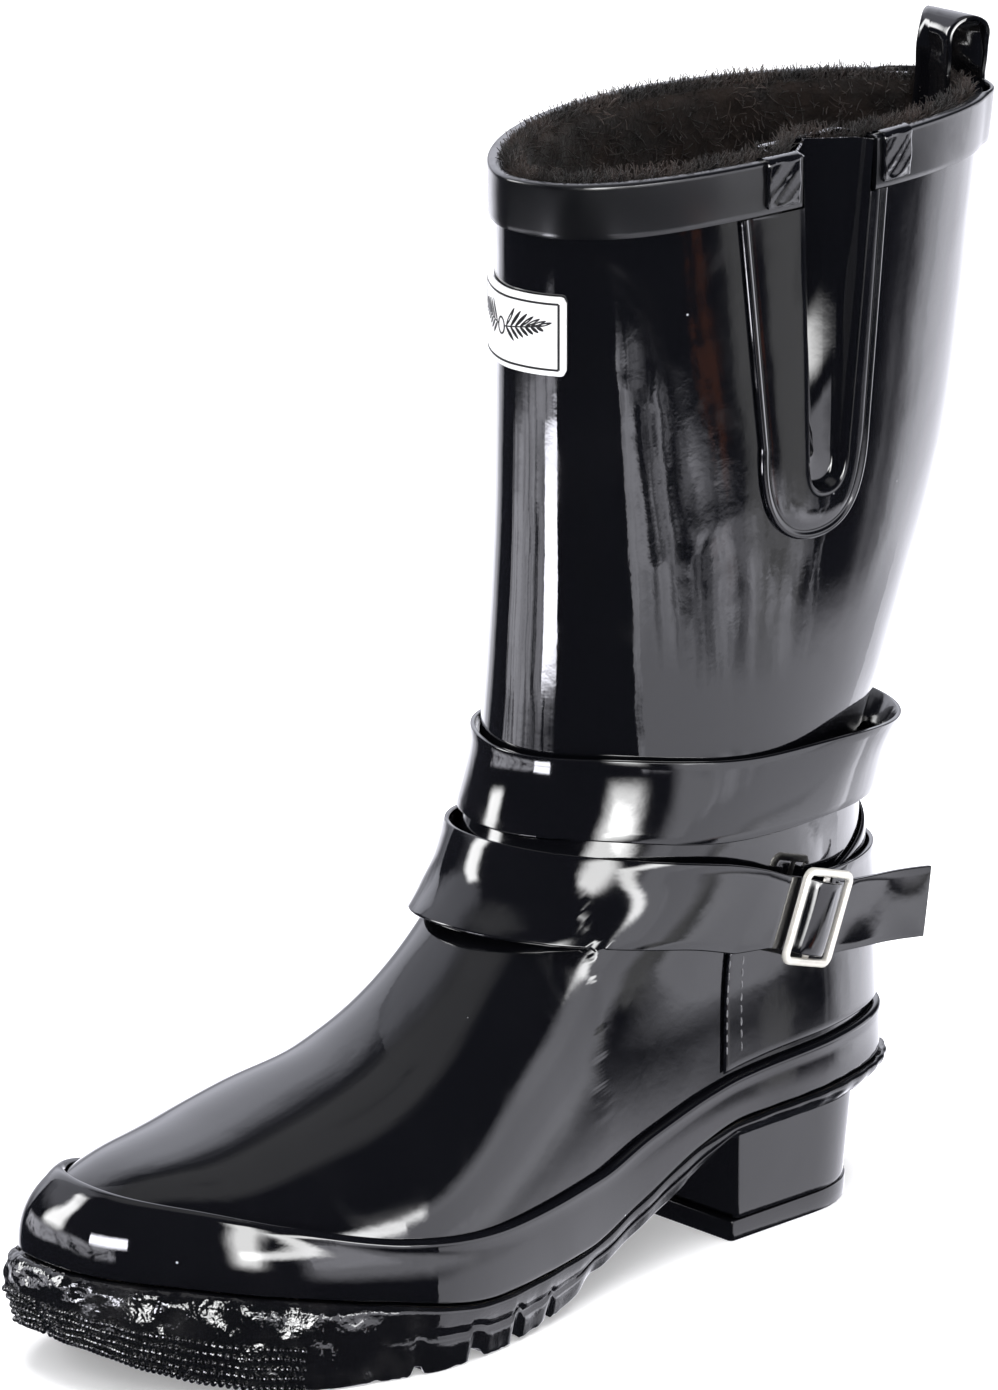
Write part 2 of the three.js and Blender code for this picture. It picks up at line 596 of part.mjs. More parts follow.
// ---- Rand and counter ----------------------------------------------------------------------
const randKeys = [
  [TOE_Y, TOE_HEIGHT - 4],
  [mix(TOE_Y, ANKLE_FRONT, 0.12), TOE_HEIGHT - 7],
  [mix(TOE_Y, ANKLE_FRONT, 0.26), TOE_HEIGHT - 12],
  [mix(TOE_Y, ANKLE_FRONT, 0.48), 37.5],
  [mix(TOE_Y, ANKLE_FRONT, 0.7), 34.5],
  [mix(TOE_Y, ANKLE_FRONT, 0.96), 36.5],
  [-65, 42.7],
  [-44, HEEL_SEAT + 11],
  [-32, HEEL_SEAT + 13],
  [0, HEEL_SEAT + 15],
  [HEEL_BACK, HEEL_SEAT + 14],
];
const randTop = (a) => keyed(randKeys, angleY(a));
const randGap = (a) => GAP + 0.35 * ease(-0.55, -0.85, Math.cos(a));
piece("rand", layer({
  angles: allRound, levels: between((a) => soleTop(a) + 0.2, randTop, spread(0, 1, 4)),
  inner: randGap, outer: (a) => randGap(a) + RAND_THICKNESS, closed: true,
}), rubber);

const COUNTER_FRONT = -37;
const counterGap = GAP + 0.2;
const counterRows = spread(0, 1, 5);
const counterRings = spread(-1, 1, 22).map((t) => {
  const reach = angleAt(COUNTER_FRONT, HEEL_SEAT + 13) * t;
  const low = randTop(Math.abs(reach)) + GAP + 1.7;
  const high = mix(112, 92, Math.abs(t));
  const levels = counterRows.map((k) => mix(low, high, k));
  const at = (z, d) => offset(angleAt(COUNTER_FRONT, z) * t, z, d);
  const out = levels.map((z) => at(z, counterGap + COUNTER_THICKNESS));
  return [...out, ...levels.map((z) => at(z, counterGap)).reverse()];
});
piece("counter", loft(counterRings), rubber);

// ---- Label ---------------------------------------------------------------------------------
// Angle from start (0 or half a turn) at which half the width has been run.
function angleForWidth(width, z, start) {
  let step = 0;
  let run = 0;
  while (run < width / 2) {
    run += shell(start - step, z).distanceTo(shell(start - step - 0.005, z));
    step += 0.005;
  }
  return step;
}
const labelMiddle = LABEL_BOTTOM + LABEL_HEIGHT / 2;
const labelReach = (d) => angleForWidth(LABEL_WIDTH + 2 * d, labelMiddle, Math.PI);
piece("front_label", layer({
  angles: spread(Math.PI - labelReach(-LABEL_SHIFT), Math.PI + labelReach(LABEL_SHIFT), 12),
  levels: () => spread(LABEL_BOTTOM, LABEL_BOTTOM + LABEL_HEIGHT, 2),
  inner: GAP + 0.15, outer: GAP + 0.15 + LABEL_THICKNESS,
}), white);

// ---- Upper strap ---------------------------------------------------------------------------
const toFront = (a) => (1 - Math.cos(a)) / 2;
const upperKeys = [[0, UPPER_STRAP_Z[2]], [0.5, UPPER_STRAP_Z[1]], [1, UPPER_STRAP_Z[0]]];
const upperZ = (a) => keyed(upperKeys, toFront(a));
const upperOff = (a, z) => {
  const height = (z - upperZ(a)) / UPPER_STRAP_WIDTH + 0.5;
  return UPPER_FRONT_OFF + UPPER_STAND_OFF * ease(0.55, 0, toFront(a)) * mix(0.4, 1, height);
};
piece("upper_strap", layer({
  angles: allRound,
  levels: (a) => spread(upperZ(a) - UPPER_STRAP_WIDTH / 2, upperZ(a) + UPPER_STRAP_WIDTH / 2, 3),
  inner: upperOff, outer: (a, z) => upperOff(a, z) + STRAP_THICKNESS, closed: true,
}), rubber);

// ---- Lower strap, buckle and tail ----------------------------------------------------------
// The strap starts under the rear bar of the buckle, goes over the centre bar and under the
// front bar, round the foot, and ends folded under the centre bar.
const buckleAngle = angleAt(BUCKLE_Y, BUCKLE_Z);
const counterTop = counterGap + COUNTER_THICKNESS;
const chapeOff = counterTop + 2 * GAP;
const passOff = chapeOff + STRAP_THICKNESS + GAP;
const centre = shell(buckleAngle, BUCKLE_Z);
const outward = shellNormal(buckleAngle, BUCKLE_Z);
const level = new THREE.Vector3(0, 0, 1).cross(outward).normalize();
const steep = outward.clone().cross(level).normalize();
// Directions in the plane of the side, turned by an angle above level: along and across.
const along = (slant) => level.clone().multiplyScalar(Math.cos(rad(slant)))
  .addScaledVector(steep, Math.sin(rad(slant)));
const across = (slant) => outward.clone().cross(along(slant));
const rearward = along(BUCKLE_SLANT);
const upward = across(BUCKLE_SLANT);
const inBuckle = (t, w, h) =>
  centre.clone().addScaledVector(rearward, t).addScaledVector(upward, w).addScaledVector(outward, h);
const barHeight = passOff + STRAP_THICKNESS + BUCKLE_PLAY;
const overBar = barHeight + BUCKLE_DEPTH / 2 + BUCKLE_PLAY;
const widthRows = [-0.5, 0, 0.5];
const flatRing = (t, h) => {
  const w = widthRows.map((k) => k * LOWER_STRAP_WIDTH);
  const out = w.map((k) => inBuckle(t, k, h + STRAP_THICKNESS));
  return [...out, ...w.map((k) => inBuckle(t, k, h)).reverse()];
};
const halfBuckle = BUCKLE_LENGTH / 2;
const lowerKeys = [
  [0, LOWER_STRAP_BACK_Z],
  [toFront(buckleAngle), BUCKLE_Z + 0.5],
  [0.62, 104],
  [0.83, 108.5],
  [1, LOWER_STRAP_FRONT_Z],
];
const lowerZ = (a) => keyed(lowerKeys, toFront(a));
const lowerOff = (a) => mix(passOff, LOWER_STAND_OFF, ease(0.25, 0.6, toFront(a)));
const strapRing = (a, off) => {
  const z = lowerZ(a);
  const heights = widthRows.map((k) => z + k * LOWER_STRAP_WIDTH * 1.04);
  const out = heights.map((q) => offset(a, q, off + STRAP_THICKNESS));
  return [...out, ...heights.map((q) => offset(a, q, off)).reverse()];
};
const strapStart = halfBuckle - 0.5;
const nearBuckle = buckleAngle + 0.35;
const wrapAngles = spread(nearBuckle, TURN + buckleAngle, 42);
const lowerRings = [
  flatRing(strapStart, passOff),
  flatRing(halfBuckle * 0.62, passOff + 0.4),
  flatRing(halfBuckle * 0.3, overBar),
  flatRing(0, overBar + 0.3),
  flatRing(-halfBuckle * 0.3, overBar),
  flatRing(-halfBuckle * 0.62, passOff + 0.4),
  flatRing(-halfBuckle, passOff),
  flatRing(-halfBuckle - 5, passOff),
  ...wrapAngles.map((a) => {
    const late = ease(Math.PI, TURN, a);
    return strapRing(a, mix(lowerOff(a), chapeOff, late));
  }),
];
piece("lower_strap", loft(lowerRings), rubber);

const frame = new THREE.Shape();
function roundedRect(path, w, h, r) {
  path.moveTo(-w + r, -h);
  path.lineTo(w - r, -h);
  path.absarc(w - r, -h + r, r, -Math.PI / 2, 0);
  path.lineTo(w, h - r);
  path.absarc(w - r, h - r, r, 0, Math.PI / 2);
  path.lineTo(-w + r, h);
  path.absarc(-w + r, h - r, r, Math.PI / 2, Math.PI);
  path.lineTo(-w, -h + r);
  path.absarc(-w + r, -h + r, r, Math.PI, Math.PI * 1.5);
  return path;
}
const windowHalf = LOWER_STRAP_WIDTH / 2 + 1;
roundedRect(frame, halfBuckle, windowHalf + BUCKLE_BAR, 3);
frame.holes.push(roundedRect(new THREE.Path(), halfBuckle - BUCKLE_BAR, windowHalf, 1.2));
const intoPlace = new THREE.Matrix4().makeBasis(rearward, upward, outward);
const buckleBase = inBuckle(0, 0, barHeight);
const ringGeometry = new THREE.ExtrudeGeometry(frame, {
  depth: BUCKLE_DEPTH, bevelEnabled: false, curveSegments: 4,
});
const barGeometry = new THREE.BoxGeometry(3, windowHalf * 2 + 1, BUCKLE_DEPTH / 2);
barGeometry.translate(0, 0, BUCKLE_DEPTH / 4);
const buckle = join(ringGeometry, barGeometry);
buckle.applyMatrix4(intoPlace).translate(buckleBase.x, buckleBase.y, buckleBase.z);
piece("buckle_frame", buckle, steel);

const tailHinge = inBuckle(strapStart + 0.5, 0, passOff + STRAP_THICKNESS / 2);
const tailWay = along(BUCKLE_SLANT + TAIL_SLANT);
const tailUp = across(BUCKLE_SLANT + TAIL_SLANT);
const tailRing = (t, h) => {
  const at = (w, q) => tailHinge.clone().addScaledVector(tailWay, t)
    .addScaledVector(tailUp, w * LOWER_STRAP_WIDTH)
    .addScaledVector(outward, h + q - STRAP_THICKNESS / 2);
  return [at(-0.5, STRAP_THICKNESS), at(0.5, STRAP_THICKNESS), at(0.5, 0), at(-0.5, 0)];
};
const tailRoot = [[-0.5, STRAP_THICKNESS], [0.5, STRAP_THICKNESS], [0.5, 0], [-0.5, 0]].map(
  ([w, q]) => inBuckle(strapStart + 0.5 + GAP, w * LOWER_STRAP_WIDTH, passOff + q),
);
piece("strap_tail", loft([
  tailRoot, tailRing(7, 0.2), tailRing(TAIL_LENGTH * 0.55, 1), tailRing(TAIL_LENGTH, 3),
]), rubber);

// ---- Outsole with its lugs -----------------------------------------------------------------
const weltReachKeys = [
  [TOE_Y, WELT_TOE],
  [mix(TOE_Y, ANKLE_FRONT, 0.3), WELT_TOE - 1.5],
  [mix(TOE_Y, ANKLE_FRONT, 0.75), WELT_SIDE],
  [mix(ANKLE_FRONT, -HEEL_LENGTH / 2, 0.5), WELT_WAIST],
  [-HEEL_LENGTH / 2, WELT_SIDE],
  [HEEL_BACK, WELT_SIDE],
];
const weltOut = (y) => keyed(weltReachKeys, y);
const baseUnder = (y) => treadAt(y) + LUG_DEPTH * ease(TREAD_BACK + 14, TREAD_BACK - 2, y);
const outsoleBase = planSlab({
  y0: HEEL_BACK + WELT_SIDE, y1: TOE_Y - WELT_TOE, grow: weltOut,
  top: weltAt, bottom: baseUnder, flare: 0.07,
});
const lugCount = Math.floor((TREAD_BACK - TOE_Y - 8) / LUG_PITCH);
const lugs = Array.from({ length: lugCount }, (_, i) => {
  const back = TREAD_BACK - i * LUG_PITCH;
  return planSlab({
    y0: back, y1: back - LUG_PITCH + LUG_SLOT, grow: -TREAD_INSET,
    top: (y) => baseUnder(y) + 1, bottom: treadAt,
  });
});
piece("outsole", join(outsoleBase, ...lugs), sole);

// ---- Heel ----------------------------------------------------------------------------------
// The underside of the outsole as built: straight between the stations of its columns.
const stations = columnsBetween(0, COLUMNS / 2).map(angleY);
function underside(y) {
  const i = clamp(stations.findIndex((place) => place < y), 1, stations.length - 1);
  const t = clamp((stations[i - 1] - y) / (stations[i - 1] - stations[i]), 0, 1);
  return mix(treadAt(stations[i - 1]), treadAt(stations[i]), t);
}
function heelSlab(top, bottom, halfTop, halfBottom) {
  const half = HEEL_LENGTH / 2;
  const rings = spread(0, 1, 10).map((t) => {
    const y = t < 0.3 ? mix(-half, 0, t / 0.3) : half * Math.sin((Math.PI / 2) * ((t - 0.3) / 0.7));
    const round = y > 0 ? Math.max(1 - (y / half) ** 2.6, 0.0004) ** 0.5 : 1;
    const corner = (side, h, z) => new THREE.Vector3(side * h * round, y, z);
    return [
      corner(1, halfTop, top(y)), corner(-1, halfTop, top(y)),
      corner(-1, halfBottom, bottom), corner(1, halfBottom, bottom),
    ];
  });
  return loft(rings);
}
const heelFoot = HEEL_HALF_WIDTH - HEEL_TAPER;
piece("heel_block", heelSlab((y) => underside(y) - GAP, TOP_PIECE + GAP, HEEL_HALF_WIDTH, heelFoot), sole);
piece("heel_top_piece", heelSlab(() => TOP_PIECE, 0, heelFoot, heelFoot), sole);

// ---- Inside the foot -----------------------------------------------------------------------
const fillerBottom = (y) => weltAt(y) + GAP;
const fillerTop = (y) => fillerBottom(y) + FILLER_THICKNESS;
const boardBottom = (y) => fillerTop(y) + GAP;
const boardTop = (y) => boardBottom(y) + BOARD_THICKNESS;
const bedBottom = (y) => boardTop(y) + GAP;
const insideShell = WALL + GAP + 1.6;
const insideLining = WALL + STIFFENER + FOOT_LINING + 3 * GAP + 3.6;
function insideSlab(inset, top, bottom) {
  return planSlab({
    y0: HEEL_BACK - inset, y1: frontAt(top(TOE_Y)) + inset + TOE_ROOM, grow: -inset, top, bottom,
  });
}
const shankBack = -5;
const stationsIn = (back, front) => {
  const own = columnsBetween(0, COLUMNS / 2).map(angleY);
  return [back, ...own.filter((y) => y < back - 1 && y > front + 1), front];
};
const shankAt = (half, back, front, top, bottom) => loft(stationsIn(back, front).map((y) => [
  new THREE.Vector3(half + 3, y, top(y)), new THREE.Vector3(3 - half, y, top(y)),
  new THREE.Vector3(3 - half, y, bottom(y)), new THREE.Vector3(half + 3, y, bottom(y)),
]));
const shankFront = shankBack - SHANK_LENGTH;
const shankHalf = SHANK_WIDTH / 2;
const shankRoom = shankAt(
  shankHalf + GAP, shankBack + GAP, shankFront - GAP, (y) => fillerTop(y) + 2, (y) => weltAt(y) - 2,
);
piece("midsole_filler", cut(insideSlab(insideShell, fillerTop, fillerBottom), shankRoom), board);
piece("shank", shankAt(shankHalf, shankBack, shankFront, fillerTop, fillerBottom), steel);
piece("insole_board", insideSlab(insideShell, boardTop, boardBottom), board);
piece("footbed", insideSlab(insideLining, (y) => bedBottom(y) + FOOTBED_THICKNESS, bedBottom), fleece);

// Where the moving pieces turn: a point and a direction for each.
boot.userData.hinges = {
  tail: [tailHinge, upward.clone().negate()],
  buckle: [inBuckle(0, 0, barHeight + BUCKLE_DEPTH / 4), upward],
  loop: [offset(0, SHAFT_TOP, loopOuter).setZ(hingeZ), new THREE.Vector3(1, 0, 0)],
};

export default boot;
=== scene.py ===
# %% [markdown]
# # A rubber rain boot for the left foot
# The solid model of the boot is loaded first and stays fixed. Every piece made here is placed
# in that frame, in metres, and stands for one or more of its solids. The lesson shows how one
# smooth function for the upper can carry the rubber, the rand, the straps and the label.

# %% Load the frame
import math
from functools import partial

import bpy
import numpy as np
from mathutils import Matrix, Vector


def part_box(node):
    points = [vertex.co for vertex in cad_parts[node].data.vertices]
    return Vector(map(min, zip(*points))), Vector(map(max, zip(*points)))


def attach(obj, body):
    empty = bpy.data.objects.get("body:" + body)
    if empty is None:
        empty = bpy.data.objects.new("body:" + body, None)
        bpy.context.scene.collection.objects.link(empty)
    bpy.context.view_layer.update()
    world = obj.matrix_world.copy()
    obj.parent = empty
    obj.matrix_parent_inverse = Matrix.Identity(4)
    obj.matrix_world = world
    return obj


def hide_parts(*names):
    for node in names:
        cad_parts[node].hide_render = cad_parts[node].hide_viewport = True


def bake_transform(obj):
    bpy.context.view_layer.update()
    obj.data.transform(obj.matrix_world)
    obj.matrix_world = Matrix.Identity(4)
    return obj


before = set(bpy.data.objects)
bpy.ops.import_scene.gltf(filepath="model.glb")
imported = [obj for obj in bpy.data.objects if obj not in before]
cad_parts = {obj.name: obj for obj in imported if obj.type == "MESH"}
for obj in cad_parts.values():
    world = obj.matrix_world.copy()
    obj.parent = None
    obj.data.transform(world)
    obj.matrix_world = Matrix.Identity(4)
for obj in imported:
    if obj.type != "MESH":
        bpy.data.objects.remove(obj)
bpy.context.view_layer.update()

MM = 0.001


def box_mm(node):
    """Lowest and highest corner of a solid, in millimetres."""
    return [np.array(corner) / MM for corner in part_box(node)]


# %% [markdown]
# ## The surface of the upper
# A boot is slices stacked from the welt to the rim. Each slice is a closed outline, so a point
# on the upper needs only two numbers: an angle round the leg, 0 at the back and a quarter turn
# at the outer side, and a height. Drawing outlines by hand would work too, but a function can
# be asked for any point, at any fineness, and for the same point a millimetre further out.

# %% Maths on arrays
TURN = 2 * math.pi


def mix(a, b, t):
    return a + (b - a) * t


def ease(a, b, x):
    t = np.clip((x - a) / (b - a), 0, 1)
    return t * t * (3 - 2 * t)


def keyed(keys, x):
    """Smooth curve through (x, y) keys that never overshoots them."""
    xs, ys = np.array(keys, float).T
    slope = np.diff(ys) / np.diff(xs)
    a, b = slope[:-1], slope[1:]
    inner = np.where(a * b <= 0, 0, 2 * a * b / np.where(a + b == 0, 1, a + b))
    tangent = np.concatenate([slope[:1], inner, slope[-1:]])
    x = np.clip(x, xs[0], xs[-1])
    i = np.clip(np.searchsorted(xs, x, side="left") - 1, 0, len(xs) - 2)
    h = xs[i + 1] - xs[i]
    t = (x - xs[i]) / h
    left = (1 + 2 * t) * (1 - t) ** 2 * ys[i] + t * (1 - t) ** 2 * h * tangent[i]
    right = t * t * (3 - 2 * t) * ys[i + 1] + t * t * (t - 1) * h * tangent[i + 1]
    return left + right


# %% Sizes of the upper, in millimetres
SHAFT_TOP = float(box_mm("shaft")[1][2])
HEEL_BACK = 43.5
TOE_Y = -230.0
FOOT_LENGTH = HEEL_BACK - TOE_Y
HEEL_SEAT, TOE_HEIGHT, INSTEP_HEIGHT = 37.0, 57.0, 113.0
ANKLE_HEIGHT, ANKLE_FRONT, ANKLE_BACK, ANKLE_HALF = 144.0, -82.5, 38.0, 40.5
RIM_FRONT, RIM_BACK, RIM_HALF = -94.0, 72.0, 41.0
GAP, WALL = 0.35, 2.0


def shin(share):
    """Place y at a share of the way from the toe to the shin line."""
    return mix(TOE_Y, ANKLE_FRONT, share)


def climb(share):
    return mix(TOE_HEIGHT, INSTEP_HEIGHT, share)


front_keys = [
    (0, TOE_Y), (TOE_HEIGHT * 0.66, TOE_Y), (TOE_HEIGHT * 0.79, shin(0.012)),
    (TOE_HEIGHT * 0.91, shin(0.05)), (TOE_HEIGHT, shin(0.125)), (climb(0.12), shin(0.31)),
    (climb(0.38), shin(0.6)), (climb(0.7), shin(0.78)), (INSTEP_HEIGHT, shin(0.91)),
    (ANKLE_HEIGHT, shin(0.99)), (ANKLE_HEIGHT + 35, ANKLE_FRONT - 2), (SHAFT_TOP, RIM_FRONT),
]
back_keys = [
    (0, HEEL_BACK), (HEEL_SEAT + 15, HEEL_BACK),
    (mix(HEEL_SEAT, ANKLE_HEIGHT, 0.5), mix(HEEL_BACK, ANKLE_BACK, 0.5)),
    (mix(HEEL_SEAT, ANKLE_HEIGHT, 0.85), ANKLE_BACK), (ANKLE_HEIGHT + 10, ANKLE_BACK + 10),
    (mix(ANKLE_HEIGHT, SHAFT_TOP, 0.5), mix(ANKLE_BACK, RIM_BACK, 0.88)), (SHAFT_TOP, RIM_BACK),
]
# Along the foot from heel to toe: share of the length, middle line, half width.
plan_keys = [
    (0, 0, 45), (0.14, 0, 43), (0.25, 0.5, 37.25), (0.41, 4.5, 31.5), (0.556, 5, 36.4),
    (0.684, 1.5, 45.15), (0.756, -4, 49), (0.884, -10.6, 49), (0.956, -16, 44), (1, -20, 43),
]
welt_keys = [
    (TOE_Y - 4, 34), (shin(0.15), 30), (shin(0.42), 22), (shin(0.68), 15.5), (shin(0.92), 17),
    (-72, 23.5), (-47, HEEL_SEAT - 3.5), (-32, HEEL_SEAT), (0, HEEL_SEAT + 0.8),
    (HEEL_BACK, HEEL_SEAT),
]
tread_keys = [
    (TOE_Y - 6, 17), (shin(0.14), 5), (shin(0.36), 0), (shin(0.64), 0), (shin(0.85), 3),
    (-85, 9.5), (-55, 21), (-31, HEEL_SEAT - 4.7), (HEEL_BACK, HEEL_SEAT - 4),
]


front_at, back_at, welt_at, tread_at = (
    partial(keyed, keys) for keys in (front_keys, back_keys, welt_keys, tread_keys))
plan_centre, plan_envelope = (
    partial(keyed, [(key[0], key[column]) for key in plan_keys]) for column in (1, 2))


# %% The outline of a slice
ridge_heights = np.linspace(TOE_HEIGHT * 0.66, ANKLE_HEIGHT + 2, 4000)
ridge_places = front_at(ridge_heights)


def ridge(y):
    """Height of the top line of the foot over a place y."""
    past = np.maximum(y - (ANKLE_FRONT - 2), 0)
    on_foot = np.interp(y, ridge_places, ridge_heights)
    return np.where(past > 0, ANKLE_HEIGHT + 1.5 * past + 0.03 * past * past, on_foot)


def shell(angle, z):
    """Point on the outer face of the upper, in millimetres."""
    angle, z = np.broadcast_arrays(np.asarray(angle, float), np.asarray(z, float))
    back, front = back_at(z), front_at(z)
    y = back - (1 - np.cos(angle)) / 2 * (back - front)
    f = np.clip((back - y) / (back - TOE_Y), 0, 1)
    around = np.where(np.abs(np.sin(angle)) < 1e-9, 0, np.sin(angle))
    floor = welt_at(y)
    lift = np.clip((z - floor) / np.maximum(ridge(y) - floor, 1), 0, 1)
    crown = (1 - lift**2.4) ** (1 / 2.4)
    end = (2 * np.sqrt(f * (1 - f))) ** 0.7
    foot = plan_centre(f) + plan_envelope(f) * end * crown * np.sign(around)
    rise = np.clip((z - ANKLE_HEIGHT) / (SHAFT_TOP - ANKLE_HEIGHT), 0, 2)
    half = mix(ANKLE_HALF, RIM_HALF, np.clip(rise * 1.3, 0, 1))
    blunt = mix(1, np.where(around > 0, 0.85, 1.25), np.clip(rise, 0, 1))
    leg = (5 + 7 * np.cos(angle) ** 2) * rise + half * np.abs(around) ** blunt * np.sign(around)
    x = mix(foot, leg, ease(TOE_HEIGHT + 8, ANKLE_HEIGHT - 12, z))
    return np.stack([x, y, z], -1)


def unit(v):
    return v / np.maximum(np.linalg.norm(v, axis=-1, keepdims=True), 1e-12)


def outward(angle, z):
    """Direction straight out of the upper."""
    along = shell(angle + 0.02, z) - shell(angle - 0.02, z)
    up = shell(angle, z + 0.6) - shell(angle, z - 0.6)
    return unit(np.cross(along, up) * -1)


def offset(angle, z, distance):
    """Point at a distance outside the upper."""
    angle, z, distance = np.broadcast_arrays(angle, z, distance)
    return shell(angle, z) + outward(angle, z) * distance[..., None]


def angle_at(y, z):
    """Angle on the outer side at which a slice reaches the place y."""
    back, front = back_at(z), front_at(z)
    return np.arccos(np.clip(1 - 2 * (back - y) / (back - front), -1, 1))


def foot_y(angle):
    """Place y of a column of the foot, at the welt."""
    return HEEL_BACK - (1 - np.cos(angle)) / 2 * FOOT_LENGTH


for node, angle, z in (("foot_shell", math.pi, 30), ("shaft", math.pi / 2, 300)):
    print(node, "check:", shell(angle, z), [c.round(1).tolist() for c in box_mm(node)])

# %% [markdown]
# ## From points to meshes
# Nearly every piece of this boot is a strip with a closed section that travels along a path, so
# one helper, a loft, makes them all. It takes the sections as rings of points, joins each ring
# to the next, closes the ends, and turns the faces outwards by the sign of the volume.


# %% The loft and the pieces it makes
def new_object(name, data):
    piece = bpy.data.objects.new(name, data)
    bpy.context.scene.collection.objects.link(piece)
    return piece


def new_mesh(name, points, faces, look):
    mesh = bpy.data.meshes.new(name)
    mesh.from_pydata(points, [], faces)
    mesh.materials.append(look)
    return mesh


def put(name, points, faces, look, body="boot", nodes=(), slot=None, sharp=40):
    """Make a piece from points in millimetres; it rides on a body and stands for solids."""
    mesh = new_mesh(name, (np.asarray(points) * MM).tolist(), faces, look)
    mesh.validate(clean_customdata=False)
    mesh.polygons.foreach_set("use_smooth", [True] * len(mesh.polygons))
    if sharp:
        mesh.set_sharp_from_angle(angle=math.radians(sharp))
    piece = new_object(name, mesh)
    if body:
        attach(piece, body)
    if nodes:
        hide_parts(*nodes)
    print(f"{name}: {len(mesh.vertices)} points, {len(mesh.polygons)} faces")
    return piece


def loft_faces(n, m, closed):
    index = np.arange(n * m).reshape(n, m)
    rows = np.vstack([index, index[:1]]) if closed else index
    a, b = rows[:-1], rows[1:]
    return np.stack([a, b, np.roll(b, -1, 1), np.roll(a, -1, 1)], -1).reshape(-1, 4)


def turned_out(points, quads):
    """True if the quads already face outwards."""
    a, b, c, d = (points[quads[:, k]] for k in range(4))
    volume = np.einsum("ij,ij->i", a, np.cross(b, c)) + np.einsum("ij,ij->i", a, np.cross(c, d))
    return volume.sum() > 0


def loft(name, rings, look, closed=False, **rest):
    """Join rings of points, each a closed section, into one closed piece."""
    rings = np.asarray(rings, float)
    n, m, _ = rings.shape
    points = rings.reshape(-1, 3)
    centred = points - points.mean(0)
    quads = loft_faces(n, m, closed)
    if not turned_out(centred, quads):
        quads = quads[:, ::-1]
    faces = quads.tolist()
    if not closed:
        first, last = list(range(m)), list(range((n - 1) * m, n * m))
        ways = (rings[0].mean(0) - rings[1].mean(0), rings[-1].mean(0) - rings[-2].mean(0))
        for cap, way in zip((first, last), ways):
            ring = points[cap]
            area = sum(np.cross(ring[k - 1] - ring[0], ring[k] - ring[0]) for k in range(2, m))
            faces.append(cap if np.dot(area, way) > 0 else cap[::-1])
    return put(name, points, faces, look, **rest)


def bar_section(width, thick, radius, rows=6, steps=3):
    """Closed section of a strip: (across, out) pairs with rounded corners."""
    half = width / 2
    turn = np.linspace(0, math.pi / 2, steps + 1)
    flat = np.linspace(-half + radius, half - radius, rows + 2)[1:-1]
    corners = [
        (half - radius, radius, -math.pi / 2), (half - radius, thick - radius, 0),
        (-half + radius, thick - radius, math.pi / 2), (-half + radius, radius, math.pi),
    ]
    out = [(w, 0.0) for w in flat]
    for k, (w, h, start) in enumerate(corners):
        out += [(w + radius * math.cos(start + t), h + radius * math.sin(start + t)) for t in turn]
        if k == 1:
            out += [(w2, thick) for w2 in flat[::-1]]
    return np.array(out)


def ripple(angle, z, size=1.0):
    """A gentle unevenness of hand-laid rubber, in millimetres."""
    a = np.asarray(angle)
    return size * (
        0.5 * np.sin(3 * a + z / 31 + 1) + 0.3 * np.sin(5 * a - z / 19)
        + 0.2 * np.sin(9 * a + z / 11)
    )

# %% [markdown]
# ## The finishes
# Rain boots are dipped and lacquered rubber: almost black, with a wet, hard gloss. The colour
# says little, so the finish lies in what bends the reflections: slow waves in the sheet, faint
# smears that dull the gloss, and dust. Those are worked out once in a node group that gives a
# colour, a roughness and a normal, and each rubber piece feeds them to its own shader.


# %% Short ways to build nodes
def wire(tree, value, socket):
    """Link an output to a socket, or set the socket to a plain value."""
    if isinstance(value, bpy.types.NodeSocket):
        tree.links.new(value, socket)
    else:
        socket.default_value = value


def add_node(tree, kind, *inputs, **named):
    """Add a node. Inputs come in order (None skips one) or by name, like its properties."""
    node = tree.nodes.new(kind)
    properties = [key for key in named if hasattr(node, key)]
    for key in properties:
        setattr(node, key, named.pop(key))
    for key, value in [*enumerate(inputs), *named.items()]:
        if value is not None:
            wire(tree, value, node.inputs[key.replace("_", " ") if key in named else key])
    return node


def group_tree(name, kind, inputs, outputs):
    """A node group from names and kinds of socket, with its inputs and outputs."""
    tree = bpy.data.node_groups.new(name, kind)
    for way, sockets in (("INPUT", inputs), ("OUTPUT", outputs)):
        for label, socket in sockets.items():
            tree.interface.new_socket(label, in_out=way, socket_type="NodeSocket" + socket)
    return tree, tree.nodes.new("NodeGroupInput").outputs, tree.nodes.new("NodeGroupOutput").inputs


def object_place(tree):
    return add_node(tree, "ShaderNodeTexCoord").outputs["Object"]


def noise(tree, place, scale, detail=2.0, roughness=0.5, distortion=0.0, output="Fac"):
    return add_node(tree, "ShaderNodeTexNoise", Vector=place, Scale=scale, Detail=detail,
                    Roughness=roughness, Distortion=distortion).outputs[output]


def ramp(tree, value, low, high, from_value=0.0, to_value=1.0):
    """Smooth step from one value to another, between two limits."""
    return add_node(tree, "ShaderNodeMapRange", interpolation_type="SMOOTHSTEP", Value=value,
                    From_Min=low, From_Max=high, To_Min=from_value,
                    To_Max=to_value).outputs["Result"]


def maths(tree, operation, *values):
    return add_node(tree, "ShaderNodeMath", *values, operation=operation).outputs[0]


def vectors(tree, operation, *values, **named):
    return add_node(tree, "ShaderNodeVectorMath", *values, operation=operation, **named).outputs[0]


def bump(tree, distance, height, normal=None):
    return add_node(tree, "ShaderNodeBump", Strength=1.0, Distance=distance, Height=height,
                    Normal=normal).outputs[0]


